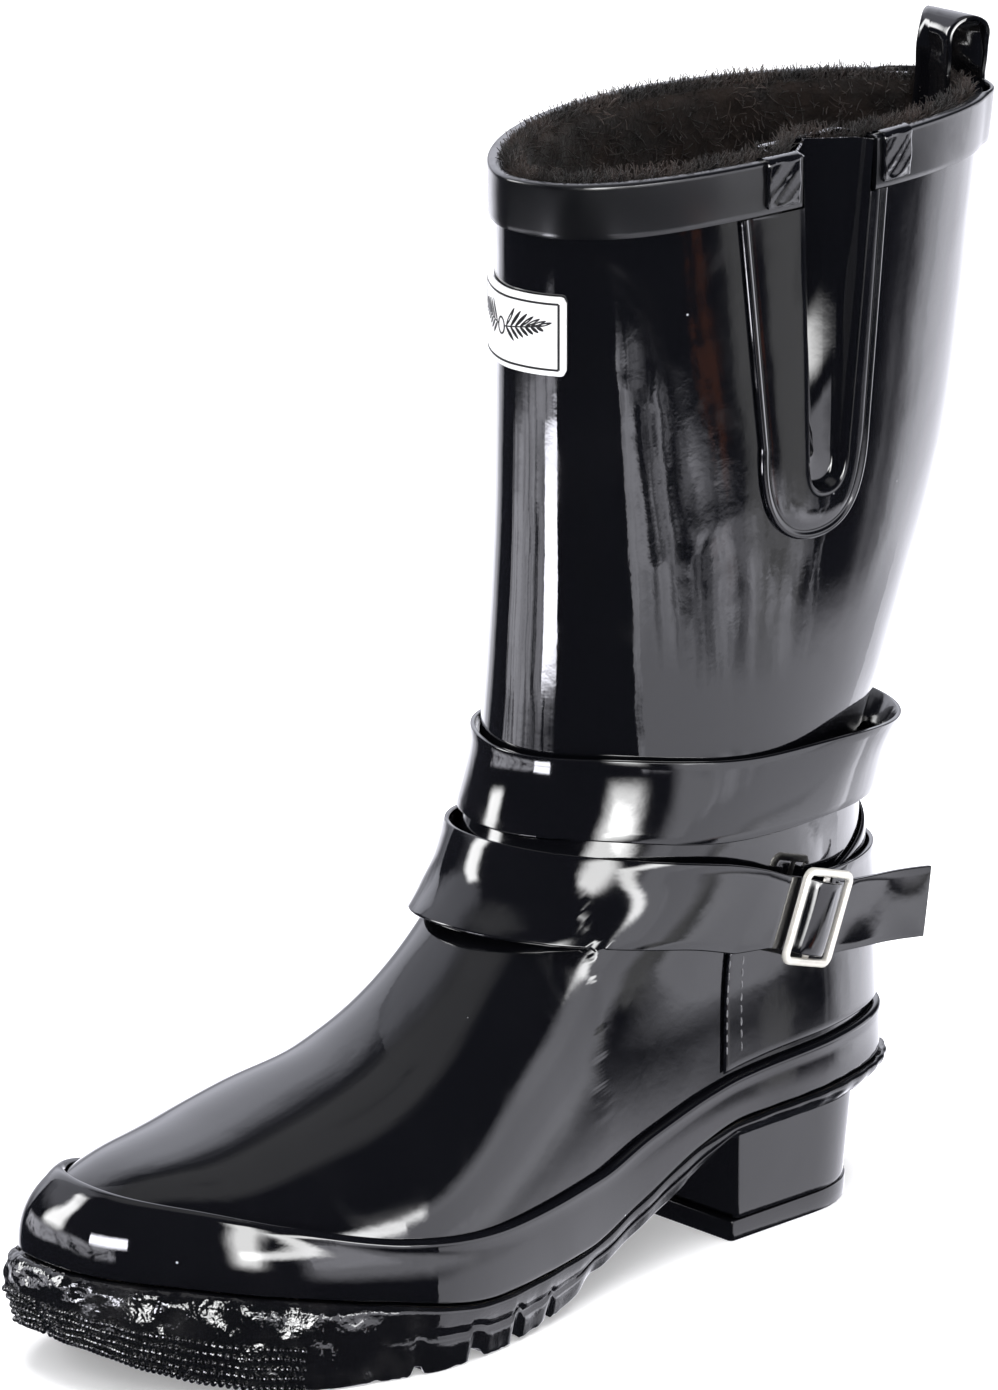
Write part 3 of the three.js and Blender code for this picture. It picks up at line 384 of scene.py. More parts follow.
def blend_colour(tree, factor, a, b):
    """Mix two colours. A mix node keeps its colours in the inputs 6 and 7."""
    node = add_node(tree, "ShaderNodeMix", factor, data_type="RGBA")
    for socket, colour in zip((node.inputs[6], node.inputs[7]), (a, b)):
        wire(tree, (*colour, 1) if isinstance(colour, tuple) else colour, socket)
    return node.outputs[2]


def new_look(name, **numbers):
    """A material whose uniform numbers are set straight on the shader's sockets."""
    look = bpy.data.materials.new(name)
    look.use_nodes = True
    shader = look.node_tree.nodes["Principled BSDF"]
    for key, value in numbers.items():
        shader.inputs[key.replace("_", " ")].default_value = value
    return look, look.node_tree, shader


def skinned_look(name, group, values, **numbers):
    """A material fed by a group: the values go to the group, the numbers to the shader."""
    look, tree, shader = new_look(name, **numbers)
    skin = add_node(tree, "ShaderNodeGroup", node_tree=group, **values).outputs
    wire(tree, skin["Color"], shader.inputs["Base Color"])
    wire(tree, skin["Roughness"], shader.inputs["Roughness"])
    wire(tree, skin["Normal"], shader.inputs["Normal"])
    return look, tree, skin, shader


# %% The lacquered rubber group
def numbers_of(*labels):
    return dict.fromkeys(labels, "Float")


skin_outputs = {"Color": "Color", "Roughness": "Float", "Normal": "Vector"}
DUST, DUST_CELLS = (0.42, 0.43, 0.45), 210


def rubber_group():
    """Wave and Fine are bump heights in millimetres; Smear is how dull the smears are."""
    tree, given, out = group_tree("lacquered_rubber", "ShaderNodeTree",
                                  numbers_of("Wave", "Fine", "Smear", "Dull", "Dust"), skin_outputs)
    place = object_place(tree)
    smears = ramp(tree, noise(tree, place, 34, 5, 0.62, 0.8), 0.48, 0.78)
    rough = maths(tree, "ADD", maths(tree, "MULTIPLY", smears, given["Smear"]), given["Dull"])
    specks = add_node(tree, "ShaderNodeTexVoronoi", Vector=place, Scale=DUST_CELLS)
    near = ramp(tree, specks.outputs["Distance"], 0.05, 0.085, 1, 0)
    chosen = maths(tree, "GREATER_THAN", noise(tree, place, 95, 2), 0.685)
    dusty = maths(tree, "MULTIPLY", maths(tree, "MULTIPLY", near, chosen), given["Dust"])
    film = ramp(tree, noise(tree, place, 14, 6, 0.7), 0.5, 0.8, 0, 0.4)
    black = blend_colour(tree, film, (0.0022, 0.0023, 0.0032), (0.0062, 0.0062, 0.0075))
    wire(tree, blend_colour(tree, dusty, black, DUST), out["Color"])
    wire(tree, maths(tree, "ADD", rough, maths(tree, "MULTIPLY", dusty, 0.5)), out["Roughness"])
    wave, fine = (maths(tree, "MULTIPLY", given[label], MM) for label in ("Wave", "Fine"))
    waves = bump(tree, wave, noise(tree, place, 26, 1.5, 0.4, 0.4))
    wire(tree, bump(tree, fine, noise(tree, place, 170, 3, 0.55, 0.2), waves), out["Normal"])
    return tree


def rubber_look(name, group, coat_rough, **values):
    """Rubber under a clear coat that follows the same unevenness."""
    look, tree, skin, shader = skinned_look(name, group, values, IOR=1.5, Coat_Weight=1.0,
                                            Coat_Roughness=coat_rough, Coat_IOR=1.5)
    wire(tree, skin["Normal"], shader.inputs["Coat Normal"])
    return look


rubber = rubber_group()
lacquer = dict(Wave=0.5, Fine=0.028, Smear=0.22, Dull=0.045, Dust=1.0)
upper_look = rubber_look("lacquered_upper", rubber, 0.03, **lacquer)
strap_look = rubber_look("lacquered_strap", rubber, 0.07, **lacquer)
binding_look = rubber_look("satin_binding", rubber, 0.16, Wave=0.3, Fine=0.04, Smear=0.25, Dull=0.3,
                           Dust=1.0)
tab_look = rubber_look("creased_tab", rubber, 0.06, Wave=0.9, Fine=0.16, Smear=0.2, Dull=0.045,
                       Dust=1.0)
heel_look = rubber_look("moulded_heel", rubber, 0.16, Wave=0.35, Fine=0.05, Smear=0.3, Dull=0.045,
                        Dust=1.0)
finishes = (upper_look, strap_look, binding_look, tab_look, heel_look)
print("rubber finishes:", [look.name for look in finishes])

# %% [markdown]
# The edge of the sole is the same rubber, but pressed in a mould with a crackled, hammered
# pattern round the toe. A cell pattern makes the facets; a mask painted on the points of the
# mesh says where the crackle is, so the waist and the heel stay smooth.


# %% The crackled sole edge
def sole_group():
    tree, _, out = group_tree("crackled_sole", "ShaderNodeTree", {}, skin_outputs)
    place = object_place(tree)
    mask = add_node(tree, "ShaderNodeAttribute", attribute_name="crackle").outputs["Fac"]
    push = vectors(tree, "SCALE", noise(tree, place, 90.0, 4.0, output="Color"), Scale=0.012)
    cells = add_node(tree, "ShaderNodeTexVoronoi", feature="F1", Scale=120, Randomness=1.0,
                     Vector=vectors(tree, "ADD", place, push))
    small = maths(tree, "MULTIPLY", noise(tree, place, 160, 3, 0.5), 0.8)
    height = maths(tree, "ADD", cells.outputs["Distance"], small)
    facets = bump(tree, 1.3 * MM, maths(tree, "MULTIPLY", height, mask))
    wire(tree, bump(tree, 0.12 * MM, noise(tree, place, 190, 4, 0.6), facets), out["Normal"])
    worn = ramp(tree, noise(tree, place, 60, 5, 0.65), 0.45, 0.75)
    wire(tree, maths(tree, "ADD", maths(tree, "MULTIPLY", worn, 0.2), 0.1), out["Roughness"])
    wire(tree, blend_colour(tree, worn, (0.0028, 0.0029, 0.0036), (0.011, 0.0108, 0.0115)),
         out["Color"])
    return tree


sole_look = rubber_look("crackled_sole_edge", sole_group(), 0.03)

# %% [markdown]
# The buckle is polished steel with a pale nickel plating. Its finish is only partly a metal, so
# that the plating stays pale in a dark room. The label is satin plastic. The lining is a
# brown-black pile, and the boards inside the sole are pressed fibre, the insole board with the
# same pile glued on. They share a second group: a colour that varies between two, a roughness
# that varies with it, and a fine grain.


# %% Nickel, label, pile and board
def plain_group():
    tree, given, out = group_tree(
        "plain_surface", "ShaderNodeTree",
        {"Low": "Color", "High": "Color", **numbers_of("Scale", "Smooth", "Rough", "Grain")},
        skin_outputs)
    place = object_place(tree)
    spread = ramp(tree, noise(tree, place, given["Scale"], 5, 0.6), 0.3, 0.7)
    wire(tree, blend_colour(tree, spread, given["Low"], given["High"]), out["Color"])
    wire(tree, ramp(tree, spread, 0, 1, given["Smooth"], given["Rough"]), out["Roughness"])
    fine = noise(tree, place, maths(tree, "MULTIPLY", given["Scale"], 7), 4, 0.6)
    wire(tree, bump(tree, maths(tree, "MULTIPLY", given["Grain"], MM), fine), out["Normal"])
    return tree


plain = plain_group()


def plain_look(name, scale, low, high, rough, grain, **numbers):
    values = dict(Scale=scale, Low=(*low, 1), High=(*high, 1), Smooth=rough[0], Rough=rough[1],
                  Grain=grain)
    return skinned_look(name, plain, values, **numbers)[0]


nickel_look = plain_look("pale_nickel", 160, (0.80, 0.77, 0.70), (0.88, 0.86, 0.80), (0.14, 0.26),
                         0.02, Metallic=0.4)
label_look = plain_look("satin_label", 90, (0.80, 0.80, 0.81), (0.86, 0.86, 0.86), (0.28, 0.4),
                        0.02, Coat_Weight=0.4)
ink_look = plain_look("label_ink", 120, (0.006, 0.006, 0.007), (0.012, 0.012, 0.013), (0.35, 0.5),
                      0.02)
pile_look = plain_look("brown_black_pile", 75, (0.004, 0.003, 0.0027), (0.016, 0.011, 0.009),
                       (0.75, 0.95), 0.9, Sheen_Weight=0.06)
board_look = plain_look("fibre_board", 60, (0.30, 0.23, 0.16), (0.42, 0.34, 0.25), (0.8, 0.95), 0.1)
thread_look = plain_look("lacquered_thread", 300, (0.07, 0.07, 0.075), (0.2, 0.2, 0.21),
                         (0.15, 0.3), 0.03, Coat_Weight=1.0)


def fur_look():
    look, tree, shader = new_look("pile_fibres", Sheen_Weight=0.08, Roughness=0.55)
    place = object_place(tree)
    patches = ramp(tree, noise(tree, place, 55, 3, 0.6), 0.42, 0.68)
    single = ramp(tree, noise(tree, place, 700, 2, 0.5), 0.4, 0.7)
    dark = blend_colour(tree, single, (0.003, 0.0024, 0.0022), (0.012, 0.0085, 0.0075))
    colour = blend_colour(tree, patches, dark, (0.036, 0.025, 0.021))
    wire(tree, colour, shader.inputs["Base Color"])
    wire(tree, ramp(tree, single, 0, 1, 0.45, 0.75), shader.inputs["Roughness"])
    return look


fibre_look = fur_look()

# %% Finishes for the solids that stay hidden inside
hidden = {"shank": nickel_look, "insole_board": pile_look, "midsole_filler": board_look,
          "heel_stiffener": board_look, "toe_puff": board_look}
for node, look in hidden.items():
    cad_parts[node].data.materials.clear()
    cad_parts[node].data.materials.append(look)
print("hidden solids finished:", sorted(hidden))

# %% [markdown]
# ## The upper
# The upper is one moulded skin from the welt to the rim, so the mesh is one piece as well,
# though the solids meet under the upper strap. Where the gusset opens on the outer side the
# skin sinks below it, out of sight, and the gusset's own pieces make the edge and the fold.

# %% The gusset's outline
SLOT_TOP_FRONT, SLOT_TOP_REAR, SLOT_MID, SLOT_HALF = -22.0, 5.0, -8.5, 7.5
STAY_TOP_FRONT, STAY_TOP_REAR, STAY_MID, STAY_HALF = -45.0, 12.0, -12.5, 20.0
SLOT_LOW, STAY_LOW = SHAFT_TOP - 95, SHAFT_TOP - 107
BINDING_HEIGHT = 14.0


def slot_edges(z):
    """Front and rear edge of the slot at a height, as if its sides went on down."""
    rise = np.clip((z - SLOT_LOW) / (SHAFT_TOP - SLOT_LOW), 0, 1)
    front = mix(SLOT_MID - SLOT_HALF, SLOT_TOP_FRONT, rise)
    return front, mix(SLOT_MID + SLOT_HALF, SLOT_TOP_REAR, rise)


def u_outline(front, rear, centre, half, low, top, straight=70, bend=36):
    """Points (y, z) of a U from its front top, round the bottom, to its rear top."""
    shoulder = low + half * 1.4
    t = np.linspace(0, 1, straight, endpoint=False)[:, None]
    s = np.linspace(0, 1, bend, endpoint=False)[:, None]

    def curve(a, b, c):
        return (1 - s) ** 2 * a + 2 * s * (1 - s) * b + s**2 * c

    def at(y, z):
        return np.array([y, z])

    down = mix(at(front, top), at(centre - half, shoulder), t)
    left = curve(at(centre - half, shoulder), at(centre - half, low), at(centre, low))
    right = curve(at(centre, low), at(centre + half, low), at(centre + half, shoulder))
    up = mix(at(centre + half, shoulder), at(rear, top), np.linspace(0, 1, straight + 1)[:, None])
    return np.vstack([down, left, right, up])


def dip(angle, z):
    """How far the skin sinks under the gusset."""
    y = shell(angle, z)[..., 1]
    front, rear = slot_edges(z)
    across = ease(front - 7, front - 2, y) * (1 - ease(rear + 1.5, rear + 5, y))
    return np.where(np.sin(angle) > 0, 1, 0) * across * ease(SLOT_LOW - 7, SLOT_LOW - 1, z)


def fold_depth(z):
    """Depth of the pleat along the middle of the slot."""
    rise = np.clip((z - SLOT_LOW) / (SHAFT_TOP - SLOT_LOW), 0, 1)
    return 9 * np.minimum(rise * 1.6, 1)


# %% The skin of the upper
columns = np.linspace(0, TURN, 300, endpoint=False)
low_rows = np.linspace(0, 1, 110, endpoint=False)
high_rows = np.linspace(0, 1, 105)
skin_rings = []
for a in columns:
    bottom = float(welt_at(foot_y(a))) + GAP
    rows = np.concatenate([mix(bottom, 134, low_rows), mix(134, SHAFT_TOP, high_rows)])
    sink = dip(a, rows) * (fold_depth(rows) + 3.4)
    outer = offset(a, rows, -sink)
    few = rows[::-9]
    inner = offset(a, few, -WALL - (dip(a, few) * (fold_depth(few) + 3.4)))
    skin_rings.append(np.vstack([outer, inner]))
loft("upper_skin", skin_rings, upper_look, closed=True,
     nodes=("foot_shell", "shaft"), slot="gloss_rubber")

# %% [markdown]
# ## The side gusset
# The gusset is a U-shaped slot that lets the shaft open. A raised overlay runs round it, and
# inside it the rubber folds inwards in one deep pleat. A strip whose sections run from the
# overlay's outer edge to the slot follows the U exactly, which a cut in the skin would not.

# %% The raised overlay
slot_line = u_outline(SLOT_TOP_FRONT, SLOT_TOP_REAR, SLOT_MID, SLOT_HALF, SLOT_LOW, SHAFT_TOP)
stay_line = u_outline(STAY_TOP_FRONT, STAY_TOP_REAR, STAY_MID, STAY_HALF, STAY_LOW, SHAFT_TOP)
stay_top = SHAFT_TOP - BINDING_HEIGHT - 0.2
# Across the overlay from its outer edge: millimetres in, and height of its face.
edge_profile = [(0, 0.1), (0, 0.7), (0.15, 1.15), (0.5, 1.5), (1.0, 1.62), (1.6, 1.5), (2.1, 1.2),
                (2.6, 1.06), (3.2, 1.12), (4.0, 1.26)]
stay_rings = []
for outer, inner in zip(stay_line, slot_line):
    if outer[1] > stay_top + 2:
        continue
    width = np.linalg.norm(inner - outer)
    reach = [min(e / width, 0.6) for e, _ in edge_profile] + [0.7, 0.8, 0.9, 0.97, 1.0]
    tall = [h for _, h in edge_profile] + [1.3, 1.32, 1.34, 1.35, 1.25]
    reach += [1.0, 0.75, 0.4]
    tall += [0.05, 0.05, 0.05]
    place = np.array([mix(outer, inner, r) for r in reach])
    place[:, 1] = np.minimum(place[:, 1], stay_top)
    angle = angle_at(place[:, 0], place[:, 1])
    stay_rings.append(offset(angle, place[:, 1], np.array(tall)))
loft("gusset_overlay", stay_rings, upper_look, nodes=("gusset_stay",), slot="gloss_rubber")

# %% The rolled edge and the pleat
pleat_in = np.array([0, 0.25, 0.6, 1.1, 1.7, 2.4, 3.2])


def pleat_axis(edge):
    """Middle line of the pleat, opposite a point on the edge of the slot."""
    shoulder = SLOT_LOW + SLOT_HALF * 1.4
    z = max(edge[1], shoulder)
    front, rear = slot_edges(z)
    return np.array([(front + rear) / 2 + 0.7 * math.sin(z / 13), z])


pleat_rings = []
for edge in slot_line:
    axis = pleat_axis(edge)
    width = np.linalg.norm(axis - edge)
    steps = np.concatenate([pleat_in[pleat_in < width * 0.6], np.linspace(0.62, 1, 9) * width])
    steps = np.interp(np.linspace(0, 1, 18), np.linspace(0, 1, len(steps)), steps)
    share = steps / width
    place = edge + share[:, None] * (axis - edge)
    roll = 1.35 * np.sqrt(np.clip(1 - (np.clip(0.9 - steps, 0, 0.9) / 0.9) ** 2, 0, 1))
    top = 1.35 - 0.25 * (1 - roll / 1.35)
    depth = top - 3.6 * ease(0.2, 2.6, steps) - fold_depth(place[:, 1]) * share**1.15
    depth += 0.25 * np.sin(place[:, 1] / 5.5 + 3 * share) * share * (1 - share)
    angle = angle_at(place[:, 0], place[:, 1])
    face = offset(angle, place[:, 1], depth)
    back = offset(angle, place[:, 1], depth - 0.9)[::-1]
    pleat_rings.append(np.vstack([face, back]))
loft("gusset_pleat", pleat_rings, upper_look, nodes=("gusset_panel",), slot="gloss_rubber")

# %% [markdown]
# ## Rim binding, its tabs and the pull loop
# A strip of rubber is folded over the rim and bulges over the ends of the pull loop at the
# back. Each end of the strip, beside the gusset, is held under a small square tab. The loop is
# a strap of its own: one mesh runs from end to end.

# %% The binding
# The angle to either side of the back at which the pull loop, which is this wide, ends.
LOOP_WIDTH, LOOP_HALF = 21, 0.0
while np.linalg.norm(shell(LOOP_HALF, SHAFT_TOP) - shell(-LOOP_HALF, SHAFT_TOP)) <= LOOP_WIDTH:
    LOOP_HALF += 0.0005


def bulge(angle):
    """How far the binding stands out over the ends of the pull loop."""
    away = np.abs(np.mod(angle + math.pi, TURN) - math.pi)
    return 1.85 * (1 - ease(LOOP_HALF + 0.06, LOOP_HALF + 0.3, away))


def folded_strip(angle, low, top, thick, base, over):
    """Section of a strip folded over the rim: (height, distance) pairs."""
    bump = float(bulge(angle))
    out = base + thick + bump
    inside = mix(base + bump + 0.05, over, 1 - ease(0.0, 0.6, bump))
    rim = SHAFT_TOP + 0.1
    turn = np.linspace(0, math.pi, 9)
    centre, radius = (out + inside) / 2, (out - inside) / 2
    crown = [(rim + (top - rim) * math.sin(t), centre + radius * math.cos(t)) for t in turn]
    side = [(low, out - 0.45), (low + 0.15, out - 0.12), (low + 0.5, out)]
    side += [(mix(low + 0.5, rim, k), out + 0.12 * math.sin(k * math.pi))
             for k in np.linspace(0.1, 0.95, 9)]
    lining = [(z, base + bump) for z in (rim - 0.05, low + 4, low)]
    return np.array(side + crown + lining)


slot_rear = float(angle_at(SLOT_TOP_REAR + 0.6, SHAFT_TOP))
slot_front = float(angle_at(SLOT_TOP_FRONT - 0.6, SHAFT_TOP))
binding_rings = []
for a in np.linspace(slot_rear, slot_front - TURN, 330):
    low = SHAFT_TOP - BINDING_HEIGHT + 0.35 * math.sin(4 * a + 1)
    pairs = folded_strip(a, low, SHAFT_TOP + 0.8, 1.3, GAP, -1.9)
    binding_rings.append(offset(a, pairs[:, 0], pairs[:, 1] + 0.12 * float(ripple(a, 300))))
loft("rim_strip", binding_rings, binding_look, nodes=("rim_binding",), slot="gloss_rubber")


# %% The two tabs
def rim_tab(name, node):
    low, high = box_mm(node)
    first, last = (float(angle_at(y, SHAFT_TOP)) for y in (high[1] - 0.4, low[1] + 0.4))
    rings = []
    for t in np.linspace(0, 1, 26):
        edge = 0.9 * (1 - math.sqrt(max(0, 1 - (max(abs(t - 0.5) - 0.44, 0) / 0.06) ** 2)))
        pairs = folded_strip(1.5, SHAFT_TOP - 12 + edge, SHAFT_TOP + 1.6, 1.0, 1.95, -2.0)
        swell = 0.16 * np.sin(9 * t + pairs[:, 0] * 0.8) * (pairs[:, 1] > 2.5)
        rings.append(offset(mix(first, last, t), pairs[:, 0], pairs[:, 1] + swell - edge * 0.4))
    return loft(name, rings, tab_look, nodes=(node,), slot="gloss_rubber")


rim_tab("tab_front", "binding_tab_front")
rim_tab("tab_rear", "binding_tab_rear")


loop_out, loop_in = GAP + 0.75, -2.35 - 5 - 0.7 - 0.75
loop_radius = (loop_out - loop_in) / 2
arch_z = SHAFT_TOP + 19 - loop_radius - 0.75
path = [(loop_in, z) for z in np.linspace(SHAFT_TOP - 11.5, arch_z - 1, 14)]
path += [(loop_in + loop_radius * (1 - math.cos(t)), arch_z + loop_radius * math.sin(t))
         for t in np.linspace(0, math.pi, 22)]
path += [(loop_out, z) for z in np.linspace(arch_z - 1, SHAFT_TOP - 11.5, 14)]
path = np.array(path)
way = np.gradient(path, axis=0)
way /= np.linalg.norm(way, axis=1)[:, None]
loop_profile = bar_section(2 * LOOP_HALF, 1.5, 0.012, rows=9, steps=1)
loop_rings = []
for (d, z), (dd, dz) in zip(path, way):
    angle = loop_profile[:, 0]
    t = loop_profile[:, 1] - 0.75
    rounding = np.clip((np.abs(angle) - (LOOP_HALF - 0.02)) / 0.02, 0, 1)
    t = t * (1 - 0.45 * rounding**2)
    dist, height = d + dz * t, z - dd * t
    base = offset(angle, np.minimum(height, SHAFT_TOP), dist)
    crest = np.array([offset(0.0, SHAFT_TOP, q)[1] for q in dist])
    flat = ease(SHAFT_TOP + 2, SHAFT_TOP + 19, height) * 0.8
    sway = 0.25 * np.sin(height * 0.5 + angle * 9) * ease(SHAFT_TOP + 1, SHAFT_TOP + 6, height)
    loop_rings.append(np.stack([base[:, 0], mix(base[:, 1], crest, flat) + sway, height], -1))
loop = loft("pull_strap", loop_rings, strap_look, body=None, slot="gloss_rubber",
            nodes=("pull_loop", "pull_loop_inner_end", "pull_loop_outer_end"))
low, high = box_mm("pull_loop")
middle = (low + high) / 2
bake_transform(loop)

# %% [markdown]
# ## The pile lining
# The leg is lined with a short, curly, brown-black pile. A sleeve with an uneven face gives
# the bulk, and loose fibres stand on it where it can be seen: on the inside near the top, and
# over the rim. Fibres repeat by the thousand, which is what geometry nodes are for.


# %% The sleeve
def panel_room(angle, z):
    """How far the lining makes way for the panel of the gusset."""
    y = shell(angle, z)[..., 1]
    along = ease(-44, -29, y) * (1 - ease(12, 27, y))
    return np.where(np.sin(angle) < 0, 0, 1.55 * along * ease(SLOT_LOW - 22, SLOT_LOW - 9, z))


def pleat_push(angle, z):
    """How far the pleat pushes the lining inwards."""
    y = shell(angle, z)[..., 1]
    front, rear = slot_edges(z)
    across = np.clip((y - front) / (rear - front), 0, 1)
    return np.where(np.sin(angle) > 0, 1, 0) * fold_depth(z) * np.sin(math.pi * across)


def tufts(angle, z):
    """Lumps of the pile, in millimetres."""
    a = angle * 60
    return 0.35 * (np.sin(a / 3.1 + z / 4.3) + np.sin(a / 1.9 - z / 2.9) * 0.8
                   + np.sin(a / 1.1 + z / 1.7) * 0.5)


lining_rows = np.concatenate([np.linspace(0, 0.42, 40, endpoint=False), np.linspace(0.42, 1, 110)])
sleeve_rings = []
for a in np.linspace(0, TURN, 260, endpoint=False):
    bottom = float(welt_at(foot_y(a))) + 9
    rows = mix(bottom, SHAFT_TOP - 0.6, lining_rows)
    push = panel_room(a, rows) + pleat_push(a, rows)
    wall = mix(mix(-3.9, -2.35, ease(110, 130, rows)), -2.35, ease(120, 130, rows))
    thick = mix(2.5, 4.6, ease(100, 130, rows))
    top = np.sqrt(np.clip((SHAFT_TOP - 0.4 - rows) / 3.0, 0, 1))
    face = wall - push - thick * mix(0.35, 1, top) - tufts(a, rows) * ease(90, 130, rows)
    few = slice(None, None, 6)
    outer = offset(a, rows[few], (wall - push)[few])
    sleeve_rings.append(np.vstack([outer, offset(a, rows, face)[::-1]]))
loft("pile_lining", sleeve_rings, pile_look, closed=True, sharp=0,
     nodes=("shaft_lining", "foot_lining"), slot="fleece")

# %% A patch of lining for the fibres to stand on
def growth_patch(name, rows, face):
    rings = [face(a, rows) for a in np.linspace(0, TURN, 200, endpoint=False)]
    points = np.asarray(rings)
    n, m, _ = points.shape
    index = np.arange(n * m).reshape(n, m)
    a, b = index, np.roll(index, -1, 0)
    quads = np.stack([a[:, :-1], a[:, 1:], b[:, 1:], b[:, :-1]], -1).reshape(-1, 4)
    return put(name, points.reshape(-1, 3), quads.tolist(), pile_look, body=None, sharp=0)


def sleeve_face(a, rows):
    push = panel_room(a, rows) + pleat_push(a, rows)
    top = np.sqrt(np.clip((SHAFT_TOP - 0.4 - rows) / 3.0, 0, 1))
    return offset(a, rows, -2.35 - push - 4.6 * mix(0.35, 1, top) - tufts(a, rows))


# %% The fibre tree
def growing_tree(name, **inputs):
    """A geometry tree that takes and gives geometry; its last input is the look."""
    inputs = {"Geometry": "Geometry", **inputs, "Look": "Material"}
    return group_tree(name, "GeometryNodeTree", inputs, {"Geometry": "Geometry"})


def planted(tree, given, out, points, instance, rotation, scale):
    """End a tree: instances on points, made real and given the look."""
    placed = add_node(tree, "GeometryNodeInstanceOnPoints", Points=points, Instance=instance,
                      Rotation=rotation, Scale=scale)
    real = add_node(tree, "GeometryNodeRealizeInstances", placed.outputs[0])
    painted = add_node(tree, "GeometryNodeSetMaterial", Geometry=real.outputs[0],
                       Material=given["Look"])
    wire(tree, painted.outputs[0], out["Geometry"])
    return tree


def vector_of(tree, x=0, y=0, z=0):
    return add_node(tree, "ShaderNodeCombineXYZ", x, y, z).outputs[0]


def fibre_tree():
    tree, given, out = growing_tree("standing_fibres", Density="Float", Length="Float",
                                    Thickness="Float", Lean="Float", Droop="Float", Seed="Int")
    line = add_node(tree, "GeometryNodeCurvePrimitiveLine", End=(0, 0, 1))
    points = add_node(tree, "GeometryNodeResampleCurve", Curve=line.outputs[0], Count=4)
    where = add_node(tree, "GeometryNodeInputPosition")
    along = add_node(tree, "ShaderNodeSeparateXYZ", where.outputs[0]).outputs["Z"]
    droop = maths(tree, "MULTIPLY", maths(tree, "MULTIPLY", along, along), given["Droop"])
    bent = add_node(tree, "GeometryNodeSetPosition", Geometry=points.outputs[0],
                    Offset=vector_of(tree, droop))
    thin = maths(tree, "SUBTRACT", 1.0, maths(tree, "MULTIPLY", along, 0.8))
    taper = add_node(tree, "GeometryNodeSetCurveRadius", Curve=bent.outputs[0], Radius=thin)
    ring = add_node(tree, "GeometryNodeCurvePrimitiveCircle", Resolution=3,
                    Radius=given["Thickness"])
    fibre = add_node(tree, "GeometryNodeCurveToMesh", Curve=taper.outputs[0],
                     Profile_Curve=ring.outputs[0], Fill_Caps=True)
    spread = add_node(tree, "GeometryNodeDistributePointsOnFaces", Mesh=given["Geometry"],
                      Density=given["Density"], Seed=given["Seed"])
    low, high = (vectors(tree, "SCALE", (sign, sign, 4 * sign), Scale=given["Lean"])
                 for sign in (-1, 1))
    lean = add_node(tree, "FunctionNodeRandomValue", low, high, data_type="FLOAT_VECTOR")
    euler = add_node(tree, "FunctionNodeEulerToRotation", lean.outputs[0])
    turned = add_node(tree, "FunctionNodeRotateRotation", spread.outputs["Rotation"],
                      euler.outputs[0], rotation_space="LOCAL")
    shortest = maths(tree, "MULTIPLY", given["Length"], 0.45)
    tall = add_node(tree, "FunctionNodeRandomValue", None, None, shortest, given["Length"],
                    data_type="FLOAT")
    return planted(tree, given, out, spread.outputs["Points"], fibre.outputs[0], turned.outputs[0],
                   vector_of(tree, 1, 1, tall.outputs[1]))


def grown(name, base, tree, body="boot", slot=None, **values):
    """Run a tree on a base and keep the result as a plain mesh on a body."""
    modifier = base.modifiers.new("grow", "NODES")
    modifier.node_group = tree
    sockets = {s.name: s.identifier for s in tree.interface.items_tree if s.in_out == "INPUT"}
    for label, value in values.items():
        modifier[sockets[label]] = value
    bpy.context.view_layer.update()
    finished = base.evaluated_get(bpy.context.evaluated_depsgraph_get())
    made = bpy.data.meshes.new_from_object(finished)
    base.modifiers.remove(modifier)
    piece = new_object(name, made)
    bpy.data.objects.remove(base)
    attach(piece, body)
    print(f"{name}: {len(made.vertices)} points, {len(made.polygons)} faces")
    return piece


fibres = fibre_tree()
inner_rows = SHAFT_TOP - np.linspace(0.5, 75, 60)
patch = growth_patch("pile_base", inner_rows, sleeve_face)
grown("pile_fibres_inside", patch, fibres, slot="fleece", Density=190000.0, Length=0.0048,
      Thickness=0.00014, Lean=0.75, Droop=0.0016, Seed=4, Look=fibre_look)


def rim_face(a, rows):
    """A narrow ring on top of the lining, just inside the rim."""
    inset = 2.6 + panel_room(a, SHAFT_TOP) + pleat_push(a, SHAFT_TOP)
    return offset(a, np.full_like(rows, SHAFT_TOP - 0.9), -inset - rows)


edge = growth_patch("rim_base", np.linspace(0.0, 4.0, 5), rim_face)
grown("pile_fibres_rim", edge, fibres, slot="fleece", Density=2300000.0, Length=0.0046,
      Thickness=0.00013, Lean=0.6, Droop=0.0014, Seed=9, Look=fibre_look)

# %% [markdown]
# ## Rand and counter
# The rand is the thick band of rubber that joins the upper to the sole and guards the toe. It
# is wrapped round the whole foot, with a soft roll along its upper edge. Behind the ankle a
# thin counter is laid on the upper, with a row of stitches pressed into its front edge.

# %% The rand
rand_keys = [
    (TOE_Y, 53), (shin(0.12), 50), (shin(0.26), 45), (shin(0.48), 37.5), (shin(0.7), 34.5),
    (shin(0.96), 36.5), (-65, 42.7), (-44, 48), (-32, 50), (0, 52), (HEEL_BACK, 51),
]


def rand_top(angle):
    return keyed(rand_keys, foot_y(angle))


def rand_gap(angle):
    return GAP + 0.35 * ease(-0.55, -0.85, np.cos(angle))


